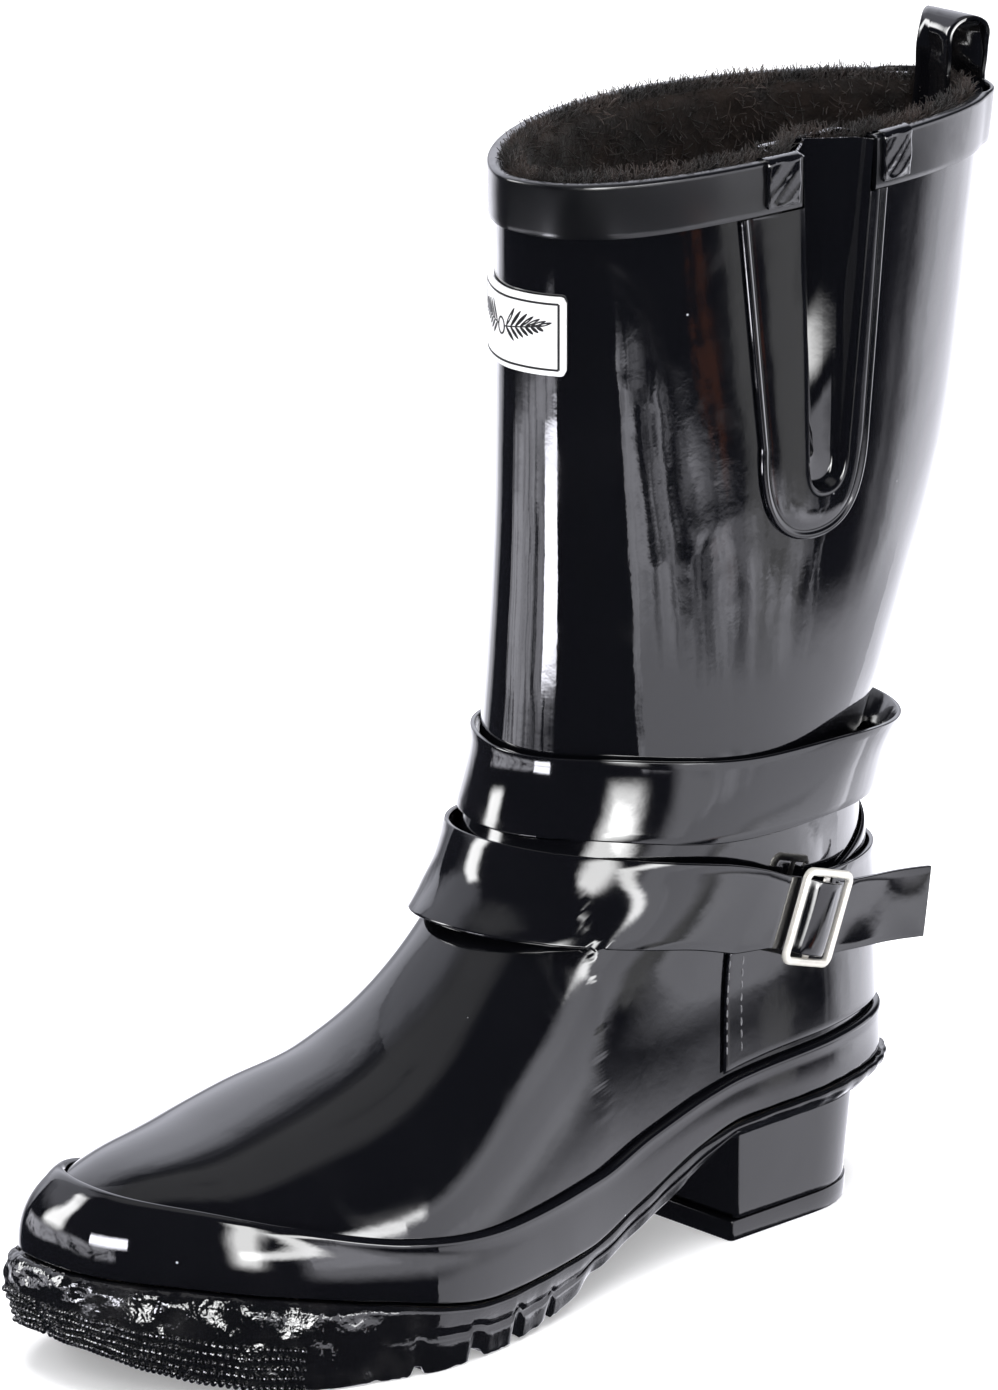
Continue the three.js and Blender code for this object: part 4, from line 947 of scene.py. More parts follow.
rand_rings = []
for a in np.linspace(0, TURN, 420, endpoint=False):
    low, top = float(welt_at(foot_y(a))) + GAP + 0.2, float(rand_top(a)) + 0.25 * math.sin(6 * a)
    down = np.array([0, 0.1, 0.35, 0.75, 1.2, 1.8, 2.5, 3.4])
    body = np.linspace(top - 3.4, low + 0.6, 12)[1:]
    z = np.concatenate([top - down, body, [low + 0.15, low]])
    face = np.array([0.7, 1.25, 1.75, 2.1, 2.28, 2.3, 2.16, 2.06])
    swell = 2.02 + 0.12 * np.sin(np.linspace(0, math.pi, 11))
    d = np.concatenate([face, swell, [1.95, 1.6]])
    z = np.concatenate([z, [low, mix(low, top, 0.5), top]])
    d = np.concatenate([d, [0, 0, 0]])
    d = rand_gap(a) + d * 0.98 + 0.1 * float(ripple(a * 2, top)) * (d > 0)
    rand_rings.append(offset(a, z, d))
loft("toe_rand", rand_rings, upper_look, closed=True, nodes=("rand",), slot="gloss_rubber")

# %% The counter
COUNTER_FRONT = -37.0
counter_rings = []
counter_ends = np.array([0.975, 0.985, 0.991, 0.995, 0.998, 1.0])
for t in np.concatenate([-counter_ends[::-1], np.linspace(-0.965, 0.965, 145), counter_ends]):
    reach = float(angle_at(COUNTER_FRONT, HEEL_SEAT + 13)) * t
    low, high = float(rand_top(abs(reach))) + GAP + 1.7, mix(112, 92, abs(t))
    k = np.concatenate([[0, 0.004, 0.012, 0.03], np.linspace(0.06, 0.94, 14),
                        [0.97, 0.988, 0.996, 1]])
    tall = np.array([0.15, 0.5, 0.72, 0.8] + [0.8] * 14 + [0.8, 0.72, 0.5, 0.15])
    fade = math.sqrt(max(0.0, 1 - (max(abs(t) - 0.991, 0) / 0.009) ** 2))
    z = mix(low, high, k)
    face = offset(angle_at(COUNTER_FRONT, z) * t, z, 0.55 + tall * mix(0.3, 1, fade))
    back = offset(angle_at(COUNTER_FRONT, z) * t, z, 0.5 + 0 * z)[::-4]
    counter_rings.append(np.vstack([face, back]))
loft("heel_counter", counter_rings, upper_look, nodes=("counter",), slot="gloss_rubber")



# %% A stitch tree
def stitch_tree():
    tree, given, out = growing_tree("row_of_stitches", Spacing="Float", Length="Float",
                                    Thickness="Float")
    spaced = add_node(tree, "GeometryNodeResampleCurve", mode="LENGTH", Curve=given["Geometry"],
                      Length=given["Spacing"])
    bead = add_node(tree, "GeometryNodeMeshUVSphere", Segments=12, Rings=8, Radius=1.0)
    tangent = add_node(tree, "GeometryNodeInputTangent")
    facing = add_node(tree, "FunctionNodeAlignRotationToVector", axis="Z",
                      Vector=tangent.outputs[0])
    size = vector_of(tree, given["Thickness"], given["Thickness"],
                     maths(tree, "MULTIPLY", given["Length"], 0.5))
    return planted(tree, given, out, spaced.outputs[0], bead.outputs[0], facing.outputs[0], size)


stitches = stitch_tree()


def seam(name, points, **values):
    """A row of stitches along points in millimetres."""
    curve = bpy.data.curves.new(name + "_line", "CURVE")
    curve.dimensions = "3D"
    spline = curve.splines.new("POLY")
    spline.points.add(len(points) - 1)
    for target, point in zip(spline.points, np.asarray(points) * MM):
        target.co = (*point, 1)
    base = new_object(name + "_line", curve)
    return grown(name, base, stitches, slot="gloss_rubber", Look=thread_look, **values)


for side, label in ((1, "outer"), (-1, "inner")):
    for row, back in (("front", 0.995), ("rear", 0.955)):
        z = np.linspace(float(rand_top(side * 0.9)) + 6, 90, 60)
        line = offset(angle_at(COUNTER_FRONT, z) * side * back, z, 1.3 if row == "rear" else 1.15)
        seam(f"counter_stitches_{label}_{row}", line, Spacing=0.0034, Length=0.0026,
             Thickness=0.00032)

# %% [markdown]
# ## The sole
# The outsole has a ledge all round, wide and turned up at the toe, thin at the waist, with
# moulded lugs under the ball. It is built round the plan of the foot: at every angle a section
# runs from the ledge down the side and in under the foot. The lugs are notches in how low that
# section reaches, and the fine tread on the toe is a knurl of small domes set on its edge.

# %% The plan of the foot
def plan_point(angle, grow):
    """Outline of the foot moved outwards, and the middle line beside it."""
    s = (1 - np.cos(angle)) / 2
    y = HEEL_BACK + grow - s * (FOOT_LENGTH + 2 * grow)
    end = (2 * np.sqrt(s * (1 - s))) ** 0.7
    side = np.sign(np.where(np.abs(np.sin(angle)) < 1e-9, 0, np.sin(angle)))
    x = plan_centre(s) + (plan_envelope(s) * end + grow * np.minimum(end * 1.2, 1)) * side
    return np.array([x, y])


def plan_middle(angle):
    """Point on the middle line that a section of the sole runs in to."""
    s = (1 - np.cos(angle)) / 2
    y = HEEL_BACK - s * FOOT_LENGTH
    return np.array([plan_centre(s), np.clip(y, TOE_Y + TOE_ROOM, HEEL_BACK - HEEL_ROOM)])


reach_keys = [(TOE_Y, 6.5), (shin(0.3), 5), (shin(0.75), 3.6), (-56.75, 2), (-31, 3.6),
              (HEEL_BACK, 3.6)]
LUGS_FROM, TOE_ROOM, HEEL_ROOM = -98, 32, 30


def lug_lift(y, side):
    """How far the underside rises between the lugs."""
    zone = ease(-94, -99, y) * ease(TOE_Y + 58, TOE_Y + 68, y)
    warp = 1.9 * np.sin(y * 0.13) + 1.1 * np.sin(y * 0.37)
    phase = np.mod(LUGS_FROM - y + side * 1.5 + warp, 15.5)
    slot = ease(10.2, 11.4, phase) * (1 - ease(14.2, 15.4, phase))
    small = 0.35 * np.sin(phase * 2.4 + y)
    return zone * ((3.4 + 1.1 * np.sin(y * 0.29)) * slot + small * (1 - slot) * 0.5)


# %% The outsole
sole_angles = np.linspace(0, TURN, 760, endpoint=False)
sole_rings, crackle = [], []
for a in sole_angles:
    s = (1 - math.cos(a)) / 2
    y = HEEL_BACK - s * FOOT_LENGTH
    side = 1 if math.sin(a) >= 0 else -1
    welt, out = float(welt_at(y)), float(keyed(reach_keys, y))
    toe = float(ease(-150, -205, y))
    heel = float(ease(-38, -32, y))
    base = float(tread_at(y)) + 4.5 * float(ease(-84, -100, y))
    lug = float(tread_at(y)) + float(lug_lift(y, side)) * float(ease(-84, -100, y))
    under = mix(base, lug, float(ease(-90, -98, y)))
    wobble = 0.35 * math.sin(23 * a) + 0.25 * math.sin(41 * a + 1)
    rim = out + toe * wobble * 0.8 + heel * 0.5 + 0.12 * math.sin(60 * a) * (1 - toe)
    bead, back = 0.9 + 0.8 * toe, 1.8 * toe
    face = [
        (-5.0, welt - 0.02), (out * 0.25, welt - 0.02), (out * 0.4, welt - 0.1 - 0.3 * toe),
        (rim - back - bead * 1.1, welt - 0.1), (rim - back - bead, welt),
        (rim - back - bead * 0.35, welt - bead * 0.25), (rim - back * 0.8, welt - bead * 0.9),
    ]
    drop = welt - bead * 0.9 - (under + 0.8)
    lean = 0.07 * (abs(float(plan_point(a, 0)[0])) + 10)
    tuck = mix(lean * 0.6, 3.6, toe)
    for k in np.linspace(0.06, 1, 16):
        ripple_side = (0.32 * math.sin(k * 9 + 31 * a) + 0.22 * math.sin(17 * k - 47 * a)) * toe
        ripple_side -= back * 0.8 * max(1 - k / 0.34, 0) ** 1.5
        groove = -0.7 * math.exp(-(((k - 0.42) / 0.06) ** 2)) * (1 - toe) * (1 - heel)
        face.append((rim - tuck * k**1.8 + ripple_side + groove, welt - bead * 0.9 - drop * k))
    edge = rim - tuck
    face += [(edge - 0.25, under + 0.35), (edge - 0.8, under)]
    ring = [np.append(plan_point(a, d), z) for d, z in face]
    foot, middle_point = plan_point(a, edge - 3), plan_middle(a)
    for q in (0, 0.25, 0.5, 0.75, 1.0):
        spot = mix(foot, middle_point, q)
        lift = float(tread_at(spot[1]))
        if spot[1] > LUGS_FROM:
            lift += 4.5 * float(ease(-84, -100, spot[1]))
        else:
            lift += float(lug_lift(spot[1], side * (1 - q)))
        level = mix(under, lift, q)
        ring.append(np.append(spot, level))
    sole_rings.append(np.array(ring))
    crackle.append([0.0] + [toe * 0.9] * 6 + [toe] * 16 + [toe * 0.5] * 2 + [0.15] * 5)
sole_rings = np.array(sole_rings)
middles = [plan_middle(a) for a in sole_angles]
top_middle = np.array([[*spot, float(welt_at(spot[1])) - 0.4] for spot in middles])[:, None]
rings = np.concatenate([top_middle, sole_rings], 1)
outsole = loft("outsole_body", rings, sole_look, closed=True, nodes=("outsole",),
               slot="sole_rubber", sharp=60)
mask = outsole.data.attributes.new("crackle", "FLOAT", "POINT")
mask.data.foreach_set("value", np.array([[0.0] + row for row in crackle], np.float32).ravel())


# %% The knurl on the toe
def knurl_tree():
    tree, given, out = growing_tree("knurled_tread", Size="Float", Height="Float")
    bead = add_node(tree, "GeometryNodeMeshIcoSphere", Radius=1.0, Subdivisions=2)
    normal = add_node(tree, "GeometryNodeInputNormal")
    facing = add_node(tree, "FunctionNodeAlignRotationToVector", axis="Z", Vector=normal.outputs[0])
    size = vector_of(tree, given["Size"], given["Size"], given["Height"])
    return planted(tree, given, out, given["Geometry"], bead.outputs[0], facing.outputs[0], size)


# The knurl takes the columns of the sole that reach past KNURL_FROM, and every second row of
# their side. Its own columns are closer together, and each row is shifted by half a step.
KNURL_FROM, KNURL_COLUMNS = TOE_Y + 42, 88
edge_columns = [i for i, a in enumerate(sole_angles) if foot_y(a) < KNURL_FROM]
toe_band = []
for place, row in enumerate(range(14, 25, 2)):
    t = np.linspace(0, len(edge_columns) - 1, KNURL_COLUMNS) + 0.5 * (place % 2)
    strip = sole_rings[edge_columns, row]
    toe_band.append(np.stack([np.interp(t, range(len(strip)), strip[:, k]) for k in range(3)], -1))
band = np.array(toe_band).transpose(1, 0, 2)
n, m, _ = band.shape
index = np.arange(n * m).reshape(n, m)
quads = np.stack([index[:-1, :-1], index[1:, :-1], index[1:, 1:], index[:-1, 1:]], -1)
knurl_base = put("knurl_base", band.reshape(-1, 3), quads.reshape(-1, 4).tolist(), sole_look,
                 body=None, sharp=0)
grown("toe_knurl", knurl_base, knurl_tree(), slot="sole_rubber", Size=0.00088, Height=0.0009,
      Look=heel_look)


# %% The heel block and its wearing layer
def heel_outline(half, length, corner, n=24):
    """Plan of the heel: a flat breast, straight sides and a round back."""
    points = []
    for t in np.linspace(0, 1, n, endpoint=False):
        angle = mix(-math.pi / 2, 0, t)
        points.append((half - corner + corner * math.cos(angle),
                       -length / 2 + corner + corner * math.sin(angle)))
    for t in np.linspace(0, 1, 40):
        y = length / 2 * math.sin(math.pi / 2 * t)
        points.append((half * math.sqrt(max(1 - (y / (length / 2)) ** 2.6, 0)), y))
    right = np.array(points)
    left = right[::-1][1:] * [-1, 1]
    return np.vstack([right, left])


def heel_part(name, node, levels, look):
    """levels are (height, move outwards) pairs; the tops follow the sole."""
    low, high = box_mm(node)
    half, length = (high[0] - low[0]) / 2, high[1] - low[1]
    rings = []
    for z, grow in levels:
        plan = heel_outline(half + grow, length + 2 * min(grow, 0.2), 1.3)
        tall = z if not callable(z) else z(plan[:, 1])
        rings.append(np.column_stack([plan, np.broadcast_to(tall, len(plan))]))
    return loft(name, rings, look, nodes=(node,), slot="sole_rubber", sharp=50)


block_low = float(box_mm("heel_block")[0][2])
block_levels = [(block_low, -2.6), (block_low + 0.25, -2.25), (block_low + 0.7, -2.1)]
block_levels += [(z, mix(-2.05, -0.1, (z - 7) / 24)) for z in np.linspace(8, 30, 9)]
block_levels += [(lambda y: tread_at(y) - GAP - 0.3, 0.0), (lambda y: tread_at(y) - GAP, -0.3)]
heel_part("heel_stack", "heel_block", block_levels, heel_look)
lift_levels = [(0, -0.9), (0.15, -0.7), (0.5, -0.55), (3, -0.5), (5.6, -0.45), (5.85, -0.5),
               (6.0, -0.7)]
heel_part("heel_lift", "heel_top_piece", lift_levels, heel_look)

# %% [markdown]
# ## The straps
# Two narrow straps cross the ankle. The upper one stands off behind, the lower one runs under
# the frame of a slide buckle, bulges over its middle bar and ends in a loose tail. Both follow
# the surface of the upper at a distance that changes round the leg, so they are the same loft
# again.

# %% The upper strap
def to_front(angle):
    return (1 - np.cos(angle)) / 2


strap_bar = bar_section(22.0, 1.3, 0.35, rows=9)
upper_rings = []
for a in np.linspace(0, TURN, 300, endpoint=False):
    share = float(to_front(a))
    middle = float(keyed([(0, 128.5), (0.5, 130.5), (1, 136)], share)) + 0.5 * math.sin(5 * a + 2)
    z = middle + strap_bar[:, 0]
    height = strap_bar[:, 0] / 22.5 + 0.5
    off = 1.35 + 8 * ease(0.55, 0, share) * mix(0.4, 1, height)
    off = off + 0.25 * math.sin(7 * a) * ease(0.6, 0.2, share)
    upper_rings.append(offset(a, z, off + strap_bar[:, 1]))
loft("upper_ankle_strap", upper_rings, strap_look, closed=True, nodes=("upper_strap",),
     slot="gloss_rubber")

# %% Directions at the buckle
BUCKLE_Y, BUCKLE_Z, SLANT, TAIL_SLANT = -9.0, 91.5, -18.0, 12.0
STRAP_WIDTH, STRAP_THICK = 21.0, 1.3
half_length, bar_wide, bar_deep = 10.75, 2.2, 1.9
buckle_angle = float(angle_at(BUCKLE_Y, BUCKLE_Z))
buckle_centre = shell(buckle_angle, BUCKLE_Z)
out_way = outward(buckle_angle, BUCKLE_Z)
level_way = unit(np.cross([0, 0, 1], out_way))
steep_way = unit(np.cross(out_way, level_way))


def along(slant):
    turn = math.radians(slant)
    return level_way * math.cos(turn) + steep_way * math.sin(turn)


def across(slant):
    return np.cross(out_way, along(slant))


def at_buckle(t, w, h):
    """Point t rearwards along the strap, w up across it, h out of the upper."""
    t, w, h = np.broadcast_arrays(t, w, h)
    return (buckle_centre + t[..., None] * along(SLANT) + w[..., None] * across(SLANT)
            + h[..., None] * out_way)


chape_off = 2.05
pass_off = chape_off + STRAP_THICK + GAP
bar_height = pass_off + STRAP_THICK + 0.8
over_bar = bar_height + bar_deep / 2 + 0.8

# %% The lower strap
strap_bar = bar_section(STRAP_WIDTH - 0.4, STRAP_THICK, 0.35, rows=9)
crown = 0.6 * (1 - (strap_bar[:, 0] / (STRAP_WIDTH / 2)) ** 2)
bulge_keys = [(-19, pass_off), (-11.5, pass_off), (-8.2, pass_off + 0.25), (-4.5, over_bar - 0.5),
              (0, over_bar + 0.55), (4.2, over_bar - 0.2), (7.2, pass_off + 0.7), (10.25, pass_off)]
lower_rings = []
for t in np.linspace(10.2, -half_length - 5, 46):
    h = float(keyed(bulge_keys, t))
    lift = (h - pass_off) / (over_bar - pass_off)
    lower_rings.append(at_buckle(t, strap_bar[:, 0], h + strap_bar[:, 1] + crown * lift * 0.6))
height_keys = [(0, 87), (float(to_front(buckle_angle)), BUCKLE_Z + 0.5), (0.62, 104),
               (0.83, 108.5), (1, 111)]
start_angle = buckle_angle + 0.35
for a in np.linspace(start_angle, TURN + buckle_angle, 280):
    share = float(to_front(a))
    z = float(keyed(height_keys, share)) + strap_bar[:, 0] * 1.04
    fit = mix(pass_off, 3.5, float(ease(0.25, 0.6, share)))
    off = mix(fit, chape_off, float(ease(math.pi, TURN, a)))
    loose = 0.3 * math.sin(6 * a + 1) * float(ease(0.25, 0.6, share))
    lower_rings.append(offset(a, z, off + loose + strap_bar[:, 1]))
loft("lower_ankle_strap", lower_rings, strap_look, nodes=("lower_strap",), slot="gloss_rubber")

# %% The loose tail
tail_hinge = at_buckle(half_length, 0, pass_off + STRAP_THICK / 2)
TAIL = 37.0
rise_keys = [(0, 0), (7, 0.2), (TAIL * 0.55, 1), (TAIL, 3)]
tail_rings = []
for t in np.linspace(0.4, TAIL, 44):
    turn = float(ease(0, 7, t))
    way, up = along(SLANT + TAIL_SLANT * turn), across(SLANT + TAIL_SLANT * turn)
    w, h = strap_bar[:, 0], strap_bar[:, 1] - STRAP_THICK / 2
    end = float(ease(TAIL - 2, TAIL, t))
    slant_cut = -0.06 * w * end
    curl = 0.35 * np.sin(t / 6) * (w / 10) ** 2
    spot = tail_hinge + (t * along(SLANT + TAIL_SLANT)) * turn + (1 - turn) * t * way
    tail_rings.append(spot + w[:, None] * up + slant_cut[:, None] * way
                      + (h + float(keyed(rise_keys, t)) + curl * turn)[:, None] * out_way)
tail = loft("strap_tail_end", tail_rings, strap_look, body=None, nodes=("strap_tail",),
            slot="gloss_rubber")
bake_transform(tail)

# %% [markdown]
# ## The buckle
# The buckle is a polished, plated frame with a thin middle bar. Its section is swept
# round a rounded rectangle. A bevelled box would show the same outline, but a swept section
# keeps an even soft edge round the corners, which is where a polished piece catches the light.

# %% Frame and bar
def rounded_path(half_x, half_y, radius, n=10):
    """Points round a rounded rectangle, and the direction outwards at each."""
    points, normals = [], []
    corners = [(half_x - radius, half_y - radius, 0), (-half_x + radius, half_y - radius, 1),
               (-half_x + radius, -half_y + radius, 2), (half_x - radius, -half_y + radius, 3)]
    for cx, cy, quarter in corners:
        for t in np.linspace(0, math.pi / 2, n):
            way = (math.cos(quarter * math.pi / 2 + t), math.sin(quarter * math.pi / 2 + t))
            points.append((cx + radius * way[0], cy + radius * way[1]))
            normals.append(way)
    return np.array(points), np.array(normals)


window_half = STRAP_WIDTH / 2 + 1
frame_path, frame_normal = rounded_path(half_length - bar_wide / 2, window_half + bar_wide / 2, 2.2)
frame_rings = []
for (u, v), (nu, nv) in zip(frame_path, frame_normal):
    turn = np.linspace(0, TURN, 20, endpoint=False)
    side = bar_wide / 2 * np.sign(np.cos(turn)) * np.abs(np.cos(turn)) ** 0.62
    tall = bar_deep / 2 * np.sign(np.sin(turn)) * np.abs(np.sin(turn)) ** 0.62
    frame_rings.append(at_buckle(u + nu * side, v + nv * side, bar_height + bar_deep / 2 + tall))
loft("buckle_ring", frame_rings, nickel_look, closed=True, body="buckle", nodes=("buckle_frame",),
     slot="polished_steel", sharp=0)
turn = np.linspace(0, TURN, 16, endpoint=False)
bar_rings = [at_buckle(1.45 * np.cos(turn), v, bar_height + 0.5 + 0.42 * np.sin(turn))
             for v in np.linspace(-window_half - 0.6, window_half + 0.6, 12)]
loft("buckle_bar", bar_rings, nickel_look, body="buckle", slot="polished_steel", sharp=0)

# %% [markdown]
# ## The label
# A small satin label sits on the front of the shaft. It has a thin black border and, as a
# plain device, two sprays of leaves on a short stem. The leaves and border are thin inlays
# laid on the curved face, so they stay crisp from near and far.

# %% The plate
label_low, label_high = box_mm("front_label")
LABEL_Z, LABEL_H = float(label_low[2] + label_high[2]) / 2, float(label_high[2] - label_low[2])
steps = np.arange(0, 0.9, 0.0005)
LABEL_SHIFT = 4.0


def arc_length(angles):
    """Distance along the shaft at the label's height, for a run of angles."""
    legs = np.linalg.norm(np.diff(shell(angles, LABEL_Z), axis=0), axis=1)
    return np.concatenate([[0], np.cumsum(legs)])


arc, arc_back = arc_length(math.pi + steps), arc_length(math.pi - steps)


def on_label(u, v, h):
    """Point u across the label, v up it, h out of the upper. The inner side is at positive u."""
    u = np.asarray(u, float) + LABEL_SHIFT
    angle = math.pi + np.where(u >= 0, np.interp(u, arc, steps), -np.interp(-u, arc_back, steps))
    return offset(angle, LABEL_Z + np.asarray(v, float), h)


plate_rings = []
for u in np.linspace(-19.8, 19.8, 61):
    corner = 1.6 * (1 - math.sqrt(max(0, 1 - (max(abs(u) - 18.2, 0) / 1.6) ** 2)))
    half = LABEL_H / 2 - 0.1 - corner
    v = np.concatenate([[-half, -half, -half + 0.25], np.linspace(-half + 0.6, half - 0.6, 11),
                        [half - 0.25, half, half]])
    h = np.array([0.5, 1.2, 1.45] + [1.5] * 11 + [1.45, 1.2, 0.5])
    soft = mix(0.75, 1, float(ease(19.8, 19.3, abs(u))))
    plate_rings.append(np.vstack([on_label(u, v, 0.5 + (h - 0.5) * soft),
                                  on_label(u, v[::-4], 0.45)]))
loft("label_plate", plate_rings, label_look, nodes=("front_label",), slot="white_label")


# %% Border, leaves and stem
def inlay(name, shapes):
    """Flat closed shapes in label coordinates, laid on the plate."""
    points, faces = [], []
    for shape in shapes:
        shape = np.asarray(shape, float)
        n, first = len(shape), len(points)
        points += on_label(shape[:, 0], shape[:, 1], 1.58).tolist()
        points += on_label(shape[:, 0], shape[:, 1], 1.4).tolist()
        after = np.roll(shape, -1, 0)
        area = np.sum(shape[:, 0] * after[:, 1] - shape[:, 1] * after[:, 0])
        top = list(range(first, first + n))
        wall = [[first + k, first + n + k, first + n + (k + 1) % n, first + (k + 1) % n]
                for k in range(n)]
        bottom = [k + n for k in top][::-1]
        group = [top, bottom] + wall
        faces += [f[::-1] for f in group] if area > 0 else group
    return put(name, points, faces, ink_look, nodes=(), slot="white_label", sharp=30)


def strip(points, width):
    """Short quads along a line of label points."""
    points = np.asarray(points, float)
    way = np.gradient(points, axis=0)
    side = np.column_stack([-way[:, 1], way[:, 0]]) / np.linalg.norm(way, axis=1)[:, None]
    upper, lower = points + side * width / 2, points - side * width / 2
    return [[upper[k], upper[k + 1], lower[k + 1], lower[k]] for k in range(len(points) - 1)]


border = []
wide, tall = 17.9, LABEL_H / 2 - 1.9
corners = np.array([(-wide, -tall), (wide, -tall), (wide, tall), (-wide, tall)])
for a, b in zip(corners, np.roll(corners, -1, 0)):
    border += strip(mix(a, b, np.linspace(0, 1, 30)[:, None]), 0.6)
inlay("label_border", border)


def leaf(x, y, angle, length, wide):
    t = np.linspace(0, math.pi, 9)
    upper = np.column_stack([(1 - np.cos(t)) / 2 * length, np.sin(t) ** 1.3 * wide / 2])
    lower = upper[::-1][1:-1] * [1, -1]
    shape = np.vstack([upper, lower])
    c, s = math.cos(angle), math.sin(angle)
    return shape @ np.array([[c, s], [-s, c]]) + [x, y]


leaves = []
for side in (1, -1):
    for k in range(7):
        for up, length in ((62 - 7 * k, 6.6 - 0.35 * k), (-52 + 4 * k, 4.4 - 0.35 * k)):
            angle = math.radians(up if side > 0 else 180 - up)
            leaves.append(leaf(side * (2.3 + 1.62 * k), 0.7 + 0.3 * k, angle, length, 0.95))
stems = []
for side in (1, -1):
    k = np.linspace(0, 1, 12)
    stems += strip(np.column_stack([side * (1.2 + 12 * k), 0.5 + 2.2 * k]), 0.35)
k = np.linspace(0, TURN, 25)
stems += strip(np.column_stack([1.5 * np.cos(k), 0.4 + 2.3 * np.sin(k)]), 0.5)
inlay("label_leaves", leaves + stems)

# %% [markdown]
# ## The footbed
# The footbed is a soft insole covered in the same pile. Only a little of it can be seen down
# the leg, but it closes the view, and it is crowned and uneven like the real one.

# %% The footbed
# Across the footbed: share of the way to the middle line, and height over the welt.
bed_profile = [(1, 5.0), (0.5, 5.0), (0.04, 5.0), (0, 5.4), (0, 8.4), (0.03, 9.1), (0.1, 9.3),
               (0.3, 9.25), (0.5, 9.2), (0.75, 9.2), (1, 9.2)]
bed_rings = []
for a in np.linspace(0, TURN, 180, endpoint=False):
    edge, middle_point = plan_point(a, -7.8), plan_middle(a)
    ring = []
    for q, level in bed_profile:
        spot = mix(edge, middle_point, q)
        bump = 0.15 * math.sin(spot[0] / 1.7) * math.sin(spot[1] / 2.3) * (level > 9)
        ring.append([spot[0], spot[1], float(welt_at(spot[1])) + level + bump])
    bed_rings.append(ring)
loft("pile_footbed", bed_rings, pile_look, closed=True, nodes=("footbed",), slot="fleece", sharp=0)

# %% [markdown]
# ## Camera
# The boot is seen from the front of its outer side, from a little above, through a long lens.

# %% Camera
camera = new_object("camera", bpy.data.cameras.new("camera"))
camera.location = (1.640, -1.671, 0.881)
camera_aim = Vector((-0.02705, -0.0615, 0.150)) - Vector(camera.location)
camera.rotation_euler = camera_aim.to_track_quat("-Z", "Y").to_euler()
camera.data.lens, camera.data.sensor_width = 233.1, 36
camera.data.clip_start, camera.data.clip_end = 0.1, 100
bpy.context.scene.camera = camera

# %% [markdown]
# ## Floor, lamps and the studio round the boot
# Glossy black rubber shows only what it reflects, so the studio matters more than the lamps.
# Broad soft lamps light the floor, the pile and the label, and are kept out of reflections.
# What the gloss reflects is a dark room drawn in the world shader, with broad pale patches and
# a few narrow bright windows, each given by two bearings and two heights in degrees. Bearings
# count from the toe towards the outer side. What stands near the boot has to be real, since it
# looks different from the sole and from the rim: five curved strips that only reflections see,
# two of them a low pale wall, two of them torn clouds of light, and one a window for the toe.

# %% Floor
FLOOR_HALF = 8
floor_look, tree, shader = new_look("pale_floor", Roughness=0.9, Specular_IOR_Level=0.0,
                                    Base_Color=(0.92, 0.92, 0.93, 1), Emission_Strength=0.3,
                                    Emission_Color=(1, 1, 1, 1))
floor_corners = [(-FLOOR_HALF, -FLOOR_HALF, 0), (FLOOR_HALF, -FLOOR_HALF, 0),
                 (FLOOR_HALF, FLOOR_HALF, 0), (-FLOOR_HALF, FLOOR_HALF, 0)]
floor = new_object("floor", new_mesh("floor", floor_corners, [(0, 1, 2, 3)], floor_look))
floor.visible_glossy = False


# %% Lamps
def lamp(name, place, target, size, power):
    light = bpy.data.lights.new(name, "AREA")
    light.shape, light.size, light.energy = "SQUARE", size, power
    piece = new_object(name, light)
    piece.location = place
    piece.rotation_euler = (Vector(target) - Vector(place)).to_track_quat("-Z", "Y").to_euler()
    piece.visible_glossy = False
    return piece


lamp("top_softbox", (0.1, -0.1, 1.7), (0, -0.05, 0.1), 1.6, 55)
lamp("front_fill", (1.5, -1.3, 1.2), (0, -0.05, 0.15), 0.9, 12)
lamp("left_fill", (-1.3, -1.2, 1.0), (0, -0.05, 0.15), 0.9, 10)

# %% The strips near the boot
GLOW_COLUMNS, GLOW_CENTRE_Y = 40, -0.03


def glow_look(name, strength, low, high, torn):
    """Light that fades out at its lower and upper edge; torn is how much of it noise eats."""
    look, tree, shader = new_look(name, Roughness=1.0, Specular_IOR_Level=0.0,
                                  Base_Color=(0, 0, 0, 1), Emission_Strength=strength,
                                  Emission_Color=(0.96, 0.96, 1.05, 1))
    place = object_place(tree)
    height = add_node(tree, "ShaderNodeSeparateXYZ", place).outputs["Z"]
    edge = (high - low) * 0.3
    rise = ramp(tree, height, low, low + edge)
    fall = ramp(tree, height, high - edge, high, 1, 0)
    uneven = ramp(tree, noise(tree, place, 13, 5, 0.62, 0.6), torn - 0.12, torn + 0.12)
    faded = maths(tree, "MULTIPLY", rise, fall)
    wire(tree, maths(tree, "MULTIPLY", faded, uneven), shader.inputs["Alpha"])
    return look


def glow_strip(name, look_name, strength, bearings, distance, low, high, torn):
    """A curved strip of light round the boot, in metres, that only reflections see."""
    turn = np.radians(np.linspace(*bearings, GLOW_COLUMNS))
    foot = np.column_stack([np.sin(turn) * distance, GLOW_CENTRE_Y - np.cos(turn) * distance])
    points = [(x, y, z) for x, y in foot for z in (low, high)]
    faces = [(2 * k, 2 * k + 2, 2 * k + 3, 2 * k + 1) for k in range(GLOW_COLUMNS - 1)]
    look = glow_look(look_name, strength, low, high, torn)
    piece = new_object(name, new_mesh(name, points, faces, look))
    piece.visible_camera = piece.visible_diffuse = piece.visible_shadow = False


